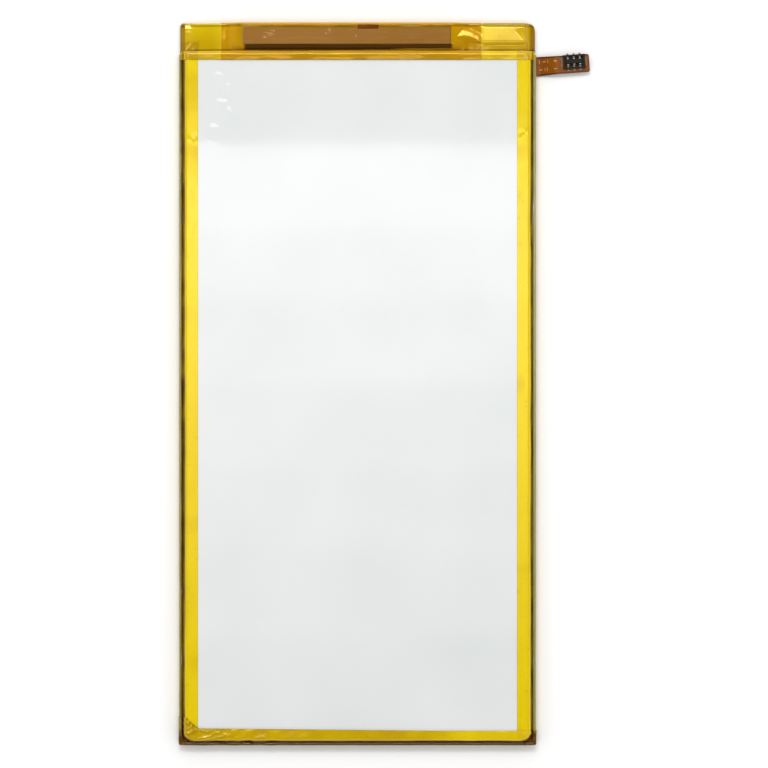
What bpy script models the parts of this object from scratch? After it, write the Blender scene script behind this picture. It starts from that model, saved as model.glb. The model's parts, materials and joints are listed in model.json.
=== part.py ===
"""Tablet battery: a flat lithium-polymer pouch cell with its protection board, flex tail and
board-to-board connector, wrapped along its edges in polyimide tape.

Metres, +Z up. The pack lies on its underside at z = 0 with its face up, and the origin is the
centre of the taped body's outline on that plane. +Y runs to the terrace end, where the
protection board is, and +X to the side that the flex tail leaves from.
"""

import math

import bmesh
import bpy
from mathutils import Matrix, Vector

MM = 0.001

# The taped body, without the tail
BODY_WIDTH = 77.0 * MM
BODY_LENGTH = 156.0 * MM
CELL_THICKNESS = 3.3 * MM

# Polyimide tape
TAPE_THICKNESS = 0.05 * MM
TAPE_CLEARANCE = 0.015 * MM
SIDE_TAPE_LAP = 4.1 * MM
UNDERSIDE_TAPE_LAP = 2.9 * MM
BOTTOM_TAPE_LAP = 3.2 * MM
TOP_TAPE_LAP = 8.2 * MM
AMBER_TAPE_LENGTH = 56.1 * MM
AMBER_TAPE_OVERHANG = 4.7 * MM
LEFT_CORNER_RADIUS = 0.6 * MM
RIGHT_CORNER_RADIUS = 1.5 * MM
TROUGH_DEPTH = 0.7 * MM
TROUGH_WIDTH = 0.4 * MM
TROUGH_LEAN = 0.05 * MM
BOARD_SLOPE_LENGTH = 3.6 * MM
FLEX_SLOPE_LENGTH = 4.2 * MM
SLOPE_MARGIN = 0.3 * MM
SAG_SHARE = 0.42
FRONT_ROUND_RADIUS = 0.5 * MM

# Pouch
SHOULDER_RADIUS = 0.8 * MM
CUP_CORNER_RADIUS = 2.0 * MM
SEAM_HEIGHT = 2.45 * MM
SIDE_SEAM_THICKNESS = 0.5 * MM
BOTTOM_SEAM_THICKNESS = 0.36 * MM
SEAM_EDGE_RADIUS = 0.12 * MM
SEAM_FOLD_RADIUS = 0.25 * MM
SEAM_CORNER_RADIUS = 0.3 * MM
GROOVE_WIDTH = 0.45 * MM
GROOVE_DEPTH = 0.9 * MM
VALLEY_DEPTH = 0.45 * MM
TERRACE_LENGTH = 6.3 * MM
FLANGE_LENGTH = 5.2 * MM
FLANGE_THICKNESS = 0.3 * MM
FLANGE_LEFT_INSET = 1.4 * MM
FLANGE_CORNER_CUT = 1.0 * MM
PANEL_MARGIN = 0.4 * MM

# Protection board and what is stacked under and over it
FIT_CLEARANCE = 0.01 * MM
INSULATION_THICKNESS = 0.06 * MM
PART_SPACE = 0.86 * MM
BOARD_LENGTH = 44.6 * MM
BOARD_WIDTH = 3.6 * MM
BOARD_THICKNESS = 0.6 * MM
BOARD_OFFSET = -2.4 * MM
BOARD_SETBACK = 1.5 * MM
WELD_PAD_LENGTH = 4.4 * MM
WELD_PAD_WIDTH = 2.2 * MM
WELD_PAD_THICKNESS = 0.08 * MM
STRIP_OVERHANG = 0.2 * MM
STRIP_WIDTH = 3.8 * MM
STRIP_THICKNESS = 0.25 * MM
STRIP_END_RADIUS = 0.9 * MM
NOTCH_LENGTH = 4.6 * MM
NOTCH_DEPTH = 0.35 * MM

# Board parts: length, width and height of each package
RESISTOR_SIZE = (1.0 * MM, 0.5 * MM, 0.35 * MM)
CERAMIC_SIZE = (1.0 * MM, 0.5 * MM, 0.5 * MM)
BULK_CAPACITOR_SIZE = (1.6 * MM, 0.8 * MM, 0.5 * MM)
PROTECTION_IC_SIZE = (1.8 * MM, 1.8 * MM, 0.6 * MM)
TRANSISTOR_SIZE = (3.3 * MM, 2.4 * MM, 0.75 * MM)
SENSE_RESISTOR_SIZE = (3.2 * MM, 1.6 * MM, 0.55 * MM)
FUSE_SIZE = (3.2 * MM, 1.6 * MM, 0.6 * MM)

# Cell tabs
TAB_WIDTH = 4.0 * MM
TAB_THICKNESS = 0.1 * MM
TAB_BEND_RADIUS = 0.3 * MM
TAB_FOLD_REACH = 0.6 * MM
TAB_WELD_LENGTH = 1.9 * MM
NEGATIVE_TAB_INSET = 17.7 * MM
POSITIVE_TAB_INSET = 8.5 * MM
FILM_MARGIN = 0.8 * MM
FILM_LENGTH = 0.26 * MM
FILM_THICKNESS = 0.1 * MM

# Flex circuit
FLEX_THICKNESS = 0.1 * MM
FLEX_ARM_WIDTH = 3.6 * MM
FLEX_SOLDER_LAP = 5.4 * MM
FLEX_ARM_SETBACK = 0.3 * MM
FLEX_BEND_INSET = 3.0 * MM
FLEX_LEG_WIDTH = 4.0 * MM
TAIL_CENTRE_INSET = 3.1 * MM
TAIL_ROOT_WIDTH = 4.2 * MM
TAIL_TIP_WIDTH = 3.9 * MM
TAIL_REACH = 11.6 * MM
TAIL_FLAT = 0.4 * MM
TAIL_RAMP = 4.6 * MM
TAIL_LIFT = 0.95 * MM
TAIL_ANGLE = math.radians(4.0)
FLEX_CORNER_RADIUS = 0.4 * MM
POCKET_CLEARANCE = 0.3 * MM

# Connector
STIFFENER_LENGTH = 6.4 * MM
STIFFENER_THICKNESS = 0.2 * MM
HOUSING_LENGTH = 4.8 * MM
HOUSING_WIDTH = 3.0 * MM
HOUSING_HEIGHT = 0.75 * MM
HOUSING_END_INSET = 0.9 * MM
HOUSING_OFFSET = 0.45 * MM
HOUSING_WALL = 0.35 * MM
HOUSING_FLOOR = 0.2 * MM
ISLAND_LENGTH = 3.3 * MM
ISLAND_WIDTH = 0.7 * MM
CONTACT_COLUMNS = 3
CONTACT_PITCH = 1.3 * MM
CONTACT_WIDTH = 0.35 * MM
CONTACT_THICKNESS = 0.08 * MM
CONTACT_TAIL = 0.3 * MM
CONTACT_RISE = 0.4 * MM
CONTACT_BEND_RADIUS = 0.12 * MM
CONTACT_CLEARANCE = 0.05 * MM
HOLD_DOWN_WIDTH = 2.0 * MM
HOLD_DOWN_HEIGHT = 0.45 * MM
HOLD_DOWN_FOOT = 0.35 * MM

# Smoothness
ARC_STEPS = 5
BEND_STEPS = 8
RAMP_STEPS = 8
SLOPE_STEPS = 4
CORNER_STEPS = 4
SHARP_ANGLE = math.radians(40.0)
WELD_DISTANCE = 0.0001 * MM

# Worked out from the sizes above
HALF_WIDTH = BODY_WIDTH / 2
HALF_LENGTH = BODY_LENGTH / 2
TAPE_PITCH = TAPE_THICKNESS + TAPE_CLEARANCE
FACE = CELL_THICKNESS
UNDERSIDE_STEP = 4 * TAPE_PITCH + FLEX_THICKNESS
SEAM_SIDE = HALF_WIDTH - TAPE_PITCH
SEAM_BOTTOM = HALF_LENGTH - 2 * TAPE_PITCH
CUP_SIDE = SEAM_SIDE - SIDE_SEAM_THICKNESS - GROOVE_WIDTH
CUP_BOTTOM = SEAM_BOTTOM - BOTTOM_SEAM_THICKNESS - GROOVE_WIDTH
CUP_TOP = HALF_LENGTH - TERRACE_LENGTH
TERRACE_FRONT = HALF_LENGTH - 3 * TAPE_PITCH
TAPE_END = SEAM_SIDE - SEAM_EDGE_RADIUS
FLANGE_BOTTOM = UNDERSIDE_STEP + 2 * FIT_CLEARANCE
FLANGE_TOP = FLANGE_BOTTOM + FLANGE_THICKNESS
FLANGE_FRONT = CUP_TOP + FLANGE_LENGTH
FLANGE_LEFT = FLANGE_LEFT_INSET - SEAM_SIDE
BOARD_BOTTOM = FLANGE_TOP + TAPE_CLEARANCE + INSULATION_THICKNESS + PART_SPACE
BOARD_TOP = BOARD_BOTTOM + BOARD_THICKNESS
BOARD_LEFT = BOARD_OFFSET - BOARD_LENGTH / 2
BOARD_RIGHT = BOARD_OFFSET + BOARD_LENGTH / 2
NEGATIVE_TAB_X = BOARD_RIGHT - NEGATIVE_TAB_INSET
POSITIVE_TAB_X = BOARD_RIGHT - POSITIVE_TAB_INSET
BOARD_BACK = CUP_TOP + BOARD_SETBACK
BOARD_Y = BOARD_BACK + BOARD_WIDTH / 2
PAD_TOP = BOARD_TOP + FIT_CLEARANCE + WELD_PAD_THICKNESS
TAB_HEIGHT = PAD_TOP + FIT_CLEARANCE + TAB_THICKNESS / 2
BOARD_PLATEAU = TAB_HEIGHT + TAB_THICKNESS / 2
FLEX_LOW = UNDERSIDE_STEP - TAPE_PITCH - TAPE_CLEARANCE - FLEX_THICKNESS / 2
FLEX_HIGH = BOARD_BOTTOM - FIT_CLEARANCE - FLEX_THICKNESS / 2
FLEX_BEND_RADIUS = (FLEX_HIGH - FLEX_LOW) / 2
FLEX_BEND_X = HALF_WIDTH - FLEX_BEND_INSET
FLEX_PLATEAU = FLEX_HIGH + FLEX_THICKNESS / 2
FLEX_LEG_LEFT = FLEX_BEND_X - FLEX_LEG_WIDTH
TAIL_Y = CUP_TOP - TAIL_CENTRE_INSET
TAIL_TOP = FLEX_LOW + TAIL_LIFT + FLEX_THICKNESS / 2
STRIP_BOTTOM = BOARD_PLATEAU + 3 * TAPE_PITCH + TAPE_CLEARANCE


def linear(*channels):
    """A colour read off the photograph as 0 to 255, as the linear values that a shader takes."""
    values = []
    for channel in channels:
        share = channel / 255
        values.append(share / 12.92 if share <= 0.04045 else ((share + 0.055) / 1.055) ** 2.4)
    return (*values, 1.0)


def material(name, colour, roughness, metallic=0.0):
    made = bpy.data.materials.new(name)
    made.use_nodes = True
    shader = made.node_tree.nodes["Principled BSDF"]
    shader.inputs["Base Color"].default_value = colour
    shader.inputs["Roughness"].default_value = roughness
    shader.inputs["Metallic"].default_value = metallic
    made.diffuse_color = colour
    return made


def clear_scene():
    for old in list(bpy.data.objects):
        bpy.data.objects.remove(old, do_unlink=True)


clear_scene()
PARTS = bpy.data.collections.new("tablet_battery")
CUTTERS = bpy.data.collections.new("cutters")
for collection in (PARTS, CUTTERS):
    bpy.context.scene.collection.children.link(collection)
CUTTERS.hide_render = True

PACK = bpy.data.objects.new("tablet_battery_frame", None)
PARTS.objects.link(PACK)


def add_object(name, bm, finish, parent=PACK, location=(0, 0, 0)):
    """Makes a named object of the part from a bmesh."""
    mesh = bpy.data.meshes.new(name)
    bm.to_mesh(mesh)
    bm.free()
    mesh.shade_smooth()
    mesh.set_sharp_from_angle(angle=SHARP_ANGLE)
    made = bpy.data.objects.new(name, mesh)
    made.location = location
    made.parent = parent
    PARTS.objects.link(made)
    if finish:
        mesh.materials.append(finish)
    return made


def make_helper(made):
    """Turns an object into one that only Booleans use."""
    PARTS.objects.unlink(made)
    CUTTERS.objects.link(made)
    made.hide_render = True
    made.display_type = "WIRE"
    made.parent = None
    return made


def block_mesh(size):
    """A bmesh box of this size, centred on its own origin."""
    bm = bmesh.new()
    bmesh.ops.create_cube(bm, size=1.0, matrix=Matrix.Diagonal((*size, 1.0)))
    return bm


def block(name, low, high, finish=None, parent=PACK):
    """A box between two opposite corners."""
    size = [top - bottom for bottom, top in zip(low, high)]
    centre = [(top + bottom) / 2 for bottom, top in zip(low, high)]
    return add_object(name, block_mesh(size), finish, parent, centre)


def bevel(target, width, segments=1):
    made = target.modifiers.new("rounded edges", "BEVEL")
    made.width = width
    made.segments = segments
    return target


def round_edges(bm, chosen, radius, segments):
    """Rounds the edges of a bmesh for which chosen(one end, other end) holds."""
    edges = [edge for edge in bm.edges if chosen(*(vert.co for vert in edge.verts))]
    bmesh.ops.bevel(bm, geom=edges, offset=radius, segments=segments, profile=0.5, affect="EDGES")


def round_block(bm, height, corner, top, bottom):
    """Rounds a box's upright corners, then its upper and lower rims: each a (radius, segments) pair."""
    limit = height / 2 - WELD_DISTANCE
    round_edges(bm, lambda one, other: (one - other).xy.length < WELD_DISTANCE, *corner)
    round_edges(bm, lambda one, other: min(one.z, other.z) > limit, *top)
    if bottom:
        round_edges(bm, lambda one, other: max(one.z, other.z) < -limit, *bottom)


def boolean(target, helper, operation):
    made = target.modifiers.new(helper.name, "BOOLEAN")
    made.operation = operation
    made.solver = "EXACT"
    made.object = helper
    return target


def thicken(target, thickness):
    """Gives an open surface its thickness, half to each side."""
    made = target.modifiers.new("thickness", "SOLIDIFY")
    made.thickness = thickness
    made.offset = 0.0
    made.use_even_offset = True
    return target


def loft(name, sections, thickness, finish, parent=PACK, location=(0, 0, 0)):
    """A sheet through sections that have as many points each, thickened half to each side."""
    bm = bmesh.new()
    rows = [[bm.verts.new(point) for point in section] for section in sections]
    for row, after in zip(rows, rows[1:]):
        for step in range(len(row) - 1):
            bm.faces.new((row[step], row[step + 1], after[step + 1], after[step]))
    bmesh.ops.remove_doubles(bm, verts=bm.verts, dist=WELD_DISTANCE)
    bmesh.ops.triangulate(bm, faces=bm.faces, quad_method="FIXED")
    return thicken(add_object(name, bm, finish, parent, location), thickness)


def plate(name, outline, bottom, thickness, finish, parent=PACK):
    """A flat outline, given as (x, y) points, extruded upwards from bottom."""
    curve = bpy.data.curves.new(name, "CURVE")
    curve.dimensions = "2D"
    curve.fill_mode = "BOTH"
    curve.extrude = thickness / 2
    spline = curve.splines.new("POLY")
    spline.points.add(len(outline) - 1)
    for point, (x, y) in zip(spline.points, outline):
        point.co = (x, y, 0, 1)
    spline.use_cyclic_u = True
    drawn = bpy.data.objects.new(name, curve)
    PARTS.objects.link(drawn)
    bpy.context.view_layer.update()
    mesh = bpy.data.meshes.new_from_object(drawn.evaluated_get(bpy.context.evaluated_depsgraph_get()))
    bpy.data.objects.remove(drawn, do_unlink=True)
    bpy.data.curves.remove(curve)
    bm = bmesh.new()
    bm.from_mesh(mesh)
    bmesh.ops.remove_doubles(bm, verts=bm.verts, dist=WELD_DISTANCE)
    bmesh.ops.recalc_face_normals(bm, faces=bm.faces)
    bpy.data.meshes.remove(mesh)
    return add_object(name, bm, finish, parent, (0, 0, bottom + thickness / 2))


def arc(centre, radius, start, end, steps=ARC_STEPS):
    """Points of a round stretch between two angles in degrees."""
    points = []
    for step in range(steps + 1):
        angle = math.radians(start + (end - start) * step / steps)
        points.append((centre[0] + radius * math.cos(angle), centre[1] + radius * math.sin(angle)))
    return points


def moved_out(path, distance):
    """An open path moved to the left of its direction, with its corners kept sharp."""
    points = [Vector(point) for point in path]
    moved = []
    for index, point in enumerate(points):
        before = points[max(index - 1, 0)]
        after = points[min(index + 1, len(points) - 1)]
        ways = [(point - before).normalized(), (after - point).normalized()]
        ways = [way for way in ways if way.length > 0]
        normals = [Vector((-way.y, way.x)) for way in ways]
        middle = sum(normals, Vector((0, 0))).normalized()
        moved.append(tuple(point + middle * distance / middle.dot(normals[0])))
    return moved


def layer(count):
    """How far the middle of tape layer number count lies from the surface under layer 0."""
    return TAPE_CLEARANCE + TAPE_THICKNESS / 2 + count * TAPE_PITCH


def strip_along(name, path, width, thickness, finish, parent=PACK, location=(0, 0, 0), across="X"):
    """A bent strip: a path in the plane across its width, drawn out to that width."""
    sections = []
    for side in (-width / 2, width / 2):
        if across == "X":
            sections.append([(side, u, z) for u, z in path])
        else:
            sections.append([(u, side, z) for u, z in path])
    return loft(name, sections, thickness, finish, parent, location)


def seam_path(reach, lap_end, cup_wall, inner_wall, seam_wall):
    """The surface under a tape at an edge: face, shoulder, valley, seam ledge, wall, fold and underside.

    Distances run outwards from the middle of the cell, heights upwards. The tape sags into the groove
    between the cup's wall and the folded seam.
    """
    shoulder = (cup_wall - SHOULDER_RADIUS, FACE - SHOULDER_RADIUS)
    edge = (seam_wall - SEAM_EDGE_RADIUS, SEAM_HEIGHT - SEAM_EDGE_RADIUS)
    fold = (seam_wall - SEAM_FOLD_RADIUS, UNDERSIDE_STEP + SEAM_FOLD_RADIUS)
    path = [(reach, FACE)]
    path += arc(shoulder, SHOULDER_RADIUS, 90, 0)
    path.append(((cup_wall + inner_wall) / 2, SEAM_HEIGHT - VALLEY_DEPTH))
    path.append((inner_wall, SEAM_HEIGHT))
    path += arc(edge, SEAM_EDGE_RADIUS, 90, 0, 2)
    path += arc(fold, SEAM_FOLD_RADIUS, 0, -90, 3)
    path.append((lap_end, UNDERSIDE_STEP))
    return path


def side_path(offset):
    """The side tapes' path, moved out from the pouch."""
    reach = HALF_WIDTH - SIDE_TAPE_LAP
    lap_end = HALF_WIDTH - UNDERSIDE_TAPE_LAP
    return moved_out(seam_path(reach, lap_end, CUP_SIDE, CUP_SIDE + GROOVE_WIDTH, SEAM_SIDE), offset)


def side_stations(offset):
    """(x, surface height) across the body, from one ledge over the face to the other."""
    half = side_path(offset)[1 : ARC_STEPS + 5]
    return [(-x, z) for x, z in reversed(half)], half


def drop_share(height, low):
    """How much of the face's height above low is left at a place where the body is lower."""
    return (height - low) / (FACE - low)


def make_pouch(finish):
    """The sealed cell: a drawn cup, its seams folded up on three sides and its terrace flange."""
    skirt_top = CUP_TOP - SHOULDER_RADIUS
    height = SEAM_HEIGHT - UNDERSIDE_STEP
    bm = block_mesh((2 * SEAM_SIDE, SEAM_BOTTOM + skirt_top, height))
    corner = (SEAM_CORNER_RADIUS, 4)
    round_block(bm, height, corner, (SEAM_EDGE_RADIUS, 2), (SEAM_FOLD_RADIUS, 3))
    centre = (0, (skirt_top - SEAM_BOTTOM) / 2, (SEAM_HEIGHT + UNDERSIDE_STEP) / 2)
    cell = add_object("pouch_cell", bm, finish, PACK, centre)

    groove_side = SEAM_SIDE - SIDE_SEAM_THICKNESS
    groove_bottom = SEAM_BOTTOM - BOTTOM_SEAM_THICKNESS
    groove = block(
        "seam_groove",
        (-groove_side, -groove_bottom, SEAM_HEIGHT - GROOVE_DEPTH),
        (groove_side, CUP_TOP + TERRACE_LENGTH, FACE),
    )
    boolean(cell, make_helper(groove), "DIFFERENCE")

    height = FACE - FLANGE_BOTTOM
    bm = block_mesh((2 * CUP_SIDE, CUP_TOP + CUP_BOTTOM, height))
    round_block(bm, height, (CUP_CORNER_RADIUS, 4), (SHOULDER_RADIUS, ARC_STEPS), None)
    centre = (0, (CUP_TOP - CUP_BOTTOM) / 2, (FACE + FLANGE_BOTTOM) / 2)
    cup = add_object("drawn_cup", bm, None, PACK, centre)
    boolean(cell, make_helper(cup), "UNION")

    flange_right = FLEX_BEND_X - POCKET_CLEARANCE
    cut = FLANGE_CORNER_CUT
    flange = plate(
        "terrace_flange",
        [
            (FLANGE_LEFT, CUP_TOP - FLANGE_LENGTH),
            (flange_right, CUP_TOP - FLANGE_LENGTH),
            (flange_right, FLANGE_FRONT - cut),
            (flange_right - cut, FLANGE_FRONT),
            (FLANGE_LEFT + cut, FLANGE_FRONT),
            (FLANGE_LEFT, FLANGE_FRONT - cut),
        ],
        FLANGE_BOTTOM,
        FLANGE_THICKNESS,
        None,
    )
    boolean(cell, make_helper(flange), "UNION")

    panel_side = HALF_WIDTH - UNDERSIDE_TAPE_LAP - PANEL_MARGIN
    panel_bottom = HALF_LENGTH - BOTTOM_TAPE_LAP - PANEL_MARGIN
    panel_top = HALF_LENGTH - TOP_TAPE_LAP - PANEL_MARGIN
    pocket_left = FLEX_LEG_LEFT - POCKET_CLEARANCE
    pocket_back = TAIL_Y - TAIL_ROOT_WIDTH / 2 - POCKET_CLEARANCE
    panel = plate(
        "underside_panel",
        [
            (-panel_side, -panel_bottom),
            (panel_side, -panel_bottom),
            (panel_side, pocket_back),
            (pocket_left, pocket_back),
            (pocket_left, panel_top),
            (-panel_side, panel_top),
        ],
        0.0,
        2 * UNDERSIDE_STEP,
        None,
    )
    boolean(cell, make_helper(panel), "UNION")
    return cell


def make_side_tapes(finish):
    right = side_path(layer(0))
    low = -CUP_BOTTOM + CUP_CORNER_RADIUS
    high = CUP_TOP - SHOULDER_RADIUS
    for name, side in (("left_side_tape", -1), ("right_side_tape", 1)):
        sections = [[(side * x, y, z) for x, z in right] for y in (low, high)]
        loft(name, sections, TAPE_THICKNESS, finish)


def corner_reach(angle, to_side, to_end):
    """How far the seam's wall is from the cup corner's axis, at an angle turned from the end to the side."""
    way = Vector((math.sin(angle), math.cos(angle)))
    centre = Vector((to_side - SEAM_CORNER_RADIUS, to_end - SEAM_CORNER_RADIUS))
    along = way.dot(centre)
    reach = along + math.sqrt(max(along**2 - centre.length_squared + SEAM_CORNER_RADIUS**2, 0))
    hit = way * reach
    if hit.x > centre.x and hit.y > centre.y:
        return reach
    return to_side / way.x if hit.y <= centre.y else to_end / way.y


def corner_angles(to_side, to_end):
    """Angles round a seam corner, with stops at both ends of its rounding."""
    stops = [0, math.atan2(to_side - SEAM_CORNER_RADIUS, to_end)]
    stops += [math.atan2(to_side, to_end - SEAM_CORNER_RADIUS), math.pi / 2]
    angles = []
    for low, high in zip(stops, stops[1:]):
        angles += [low + (high - low) * (step + 1) / CORNER_STEPS for step in range(CORNER_STEPS)]
    return angles


def make_bottom_tape(finish):
    """The wrap across the end away from the board, round both corners and over the side tapes' ends."""
    offset = layer(1)
    pivot_x = CUP_SIDE - CUP_CORNER_RADIUS
    pivot_y = CUP_BOTTOM - CUP_CORNER_RADIUS
    lap = HALF_LENGTH - BOTTOM_TAPE_LAP
    lap_under = UNDERSIDE_TAPE_LAP - (HALF_LENGTH - pivot_y)

    def section(origin, angle, reach, inner_wall, seam_wall):
        path = moved_out(seam_path(reach, reach, CUP_CORNER_RADIUS, inner_wall, seam_wall), offset)
        path[-1] = (-lap_under, path[-1][1])
        way = (math.sin(angle), -math.cos(angle))
        return [(origin[0] + way[0] * out, origin[1] + way[1] * out, z) for out, z in path]

    to_side = SEAM_SIDE - pivot_x
    to_end = SEAM_BOTTOM - pivot_y
    to_inner = CUP_CORNER_RADIUS + GROOVE_WIDTH
    right = [section((pivot_x, -pivot_y), 0, lap - pivot_y, to_inner, to_end)]
    for angle in corner_angles(to_side, to_end):
        inner_wall = to_inner / max(math.sin(angle), math.cos(angle))
        seam_wall = corner_reach(angle, to_side, to_end)
        right.append(section((pivot_x, -pivot_y), angle, 0, inner_wall, seam_wall))
    right.append(section((pivot_x, -lap), math.pi / 2, 0, to_inner, to_side))
    corner = right[0][0]
    under_corner = right[0][-1]
    for points in right[1:]:
        points[0] = corner
        points[-1] = under_corner
    left = [[(-x, y, z) for x, y, z in points] for points in reversed(right)]
    loft("bottom_tape", left + right, TAPE_THICKNESS, finish)


def terrace_stops():
    """(x, height) of the surface that the top tape follows over the terrace, left to right."""
    low = FLANGE_TOP + INSULATION_THICKNESS + 2 * TAPE_CLEARANCE
    pinch = UNDERSIDE_STEP + TAPE_THICKNESS
    sag = low + (BOARD_PLATEAU - low) * SAG_SHARE
    margin = SLOPE_MARGIN
    bend_end = FLEX_BEND_X + FLEX_BEND_RADIUS + FLEX_THICKNESS / 2
    return [
        (-TAPE_END, pinch),
        (FLANGE_LEFT - margin, low),
        (BOARD_LEFT - margin - BOARD_SLOPE_LENGTH, sag),
        (BOARD_LEFT - margin, BOARD_PLATEAU),
        (BOARD_RIGHT + margin, BOARD_PLATEAU),
        (BOARD_RIGHT + margin + FLEX_SLOPE_LENGTH, FLEX_PLATEAU),
        (bend_end, FLEX_PLATEAU),
        (bend_end + margin * 3, pinch),
        (TAPE_END, pinch),
    ]


def terrace_height(x):
    stops = terrace_stops()
    for (left, low), (right, high) in zip(stops, stops[1:]):
        if x <= right:
            share = max(x - left, 0) / (right - left)
            return low + (high - low) * share * share * (3 - 2 * share)
    return stops[-1][1]


def terrace_stations():
    """Places across the body where the terrace wraps get a section: the stops, and steps on each slope."""
    stops = terrace_stops()[1:-1]
    places = [stops[0][0]]
    for (left, low), (right, high) in zip(stops, stops[1:]):
        steps = 1 if low == high else SLOPE_STEPS
        places += [left + (right - left) * (step + 1) / steps for step in range(steps)]
    return places


def corner_inset(x):
    """How far the front edge of the top tape draws back at its rounded corners."""
    radius = LEFT_CORNER_RADIUS if x < 0 else RIGHT_CORNER_RADIUS
    past = abs(x) - (TAPE_END - radius)
    if past <= 0:
        return 0.0
    return radius - math.sqrt(max(radius**2 - past**2, 0))


def terrace_path(x, surface):
    """The surface under the top tape in the plane at x, from the face round the front to the underside."""
    plateau = terrace_height(x)
    share = min(drop_share(surface, plateau), 1.0)
    shoulder = (CUP_TOP - SHOULDER_RADIUS, FACE - SHOULDER_RADIUS)
    over = [(HALF_LENGTH - TOP_TAPE_LAP, FACE)] + arc(shoulder, SHOULDER_RADIUS, 90, 0)
    path = [(y, plateau + (z - plateau) * share) for y, z in over]
    foot = min(plateau, shoulder[1] - TROUGH_DEPTH)
    path.append((CUP_TOP + TROUGH_LEAN, foot))
    path.append((CUP_TOP + TROUGH_LEAN + TROUGH_WIDTH, foot))
    path.append((BOARD_BACK - TROUGH_LEAN, plateau))
    front = TERRACE_FRONT - corner_inset(x)
    round_over = min((plateau - UNDERSIDE_STEP) / 2, FRONT_ROUND_RADIUS)
    path += arc((front - round_over, plateau - round_over), round_over, 90, 0, 3)
    under = UNDERSIDE_STEP - FLEX_THICKNESS - TAPE_CLEARANCE
    round_under = round_over / 2
    path += arc((front - round_under, under + round_under), round_under, 0, -90, 2)
    path.append((HALF_LENGTH - TOP_TAPE_LAP, under))
    return path


def terrace_sections(offset, left_end, right_end):
    """Sections of a wrap over the terrace between two places across the body."""
    left, right = side_stations(offset)
    middle = [(x, FACE + offset) for x in terrace_stations() if left[-1][0] < x < right[0][0]]
    across = left + middle + right
    across = [(x, height) for x, height in across if left_end < x < right_end]
    if left_end > -TAPE_END:
        across = [(left_end, FACE + offset), *across, (right_end, FACE + offset)]
    sections = []
    for x, height in across:
        path = moved_out(terrace_path(x, height - offset), offset)
        sections.append([(x, y, z) for y, z in path])
    return sections


def make_terrace_tapes(yellow, amber):
    loft("top_tape", terrace_sections(layer(1), -HALF_WIDTH, HALF_WIDTH), TAPE_THICKNESS, yellow)
    amber_left = BOARD_LEFT - AMBER_TAPE_OVERHANG
    sections = terrace_sections(layer(2), amber_left, amber_left + AMBER_TAPE_LENGTH)
    loft("amber_tape", sections, TAPE_THICKNESS, amber)


def make_fibre_strip(finish):
    """The insulation strip on the taped board, rounded at its left end and notched over a tab."""
    left = BOARD_LEFT - STRIP_OVERHANG
    right = BOARD_RIGHT + STRIP_OVERHANG
    back = BOARD_Y - STRIP_WIDTH / 2
    front = BOARD_Y + STRIP_WIDTH / 2
    radius = STRIP_END_RADIUS
    notch_left = NEGATIVE_TAB_X - NOTCH_LENGTH / 2
    notch_right = NEGATIVE_TAB_X + NOTCH_LENGTH / 2
    outline = [(right, back), (right, front)]
    outline += [(notch_right, front), (notch_right, front - NOTCH_DEPTH)]
    outline += [(notch_left, front - NOTCH_DEPTH), (notch_left, front)]
    outline += arc((left + radius, front - radius), radius, 90, 180)
    outline += arc((left + radius, back + radius), radius, 180, 270)
    return plate("fibre_strip", outline, STRIP_BOTTOM, STRIP_THICKNESS, finish)


def make_board(board_finish, nickel):
    block(
        "protection_board",
        (BOARD_LEFT, BOARD_BACK, BOARD_BOTTOM),
        (BOARD_RIGHT, BOARD_BACK + BOARD_WIDTH, BOARD_TOP),
        board_finish,
    )
    for name, x in (("negative_weld_pad", NEGATIVE_TAB_X), ("positive_weld_pad", POSITIVE_TAB_X)):
        low = (x - WELD_PAD_LENGTH / 2, BOARD_Y - WELD_PAD_WIDTH / 2, BOARD_TOP + FIT_CLEARANCE)
        high = (x + WELD_PAD_LENGTH / 2, BOARD_Y + WELD_PAD_WIDTH / 2, PAD_TOP)
        block(name, low, high, nickel)


def make_board_parts(package, ceramic, resistor, metal):
    """The parts in one row under the board, with equal gaps between them."""
    parts = (
        ("chip_capacitor_1", BULK_CAPACITOR_SIZE, ceramic),
        ("protection_ic", PROTECTION_IC_SIZE, package),
        ("chip_resistor_1", RESISTOR_SIZE, resistor),
        ("chip_capacitor_2", CERAMIC_SIZE, ceramic),
        ("switching_transistor_1", TRANSISTOR_SIZE, package),
        ("switching_transistor_2", TRANSISTOR_SIZE, package),
        ("chip_resistor_2", RESISTOR_SIZE, resistor),
        ("backup_protection_ic", PROTECTION_IC_SIZE, package),
        ("chip_capacitor_3", CERAMIC_SIZE, ceramic),
        ("current_sense_resistor", SENSE_RESISTOR_SIZE, resistor),
        ("chip_fuse", FUSE_SIZE, metal),
        ("chip_resistor_3", RESISTOR_SIZE, resistor),
        ("thermistor", CERAMIC_SIZE, ceramic),
    )
    used = sum(size[0] for _, size, _ in parts)
    span = BOARD_LENGTH - FLEX_SOLDER_LAP
    gap = (span - used) / (len(parts) + 1)
    x = BOARD_LEFT + gap
    top = BOARD_BOTTOM - FIT_CLEARANCE
    for name, (length, width, height), finish in parts:
        low = (x, BOARD_Y - width / 2, top - height)
        high = (x + length, BOARD_Y + width / 2, top)
        block(name, low, high, finish)
        x += length + gap


def make_terrace_insulation(finish):
    bottom = FLANGE_TOP + TAPE_CLEARANCE
    low = (BOARD_LEFT, BOARD_BACK - BOARD_SETBACK / 2, bottom)
    high = (BOARD_RIGHT, FLANGE_FRONT - FIT_CLEARANCE, bottom + INSULATION_THICKNESS)
    return block("terrace_insulation", low, high, finish)


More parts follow.
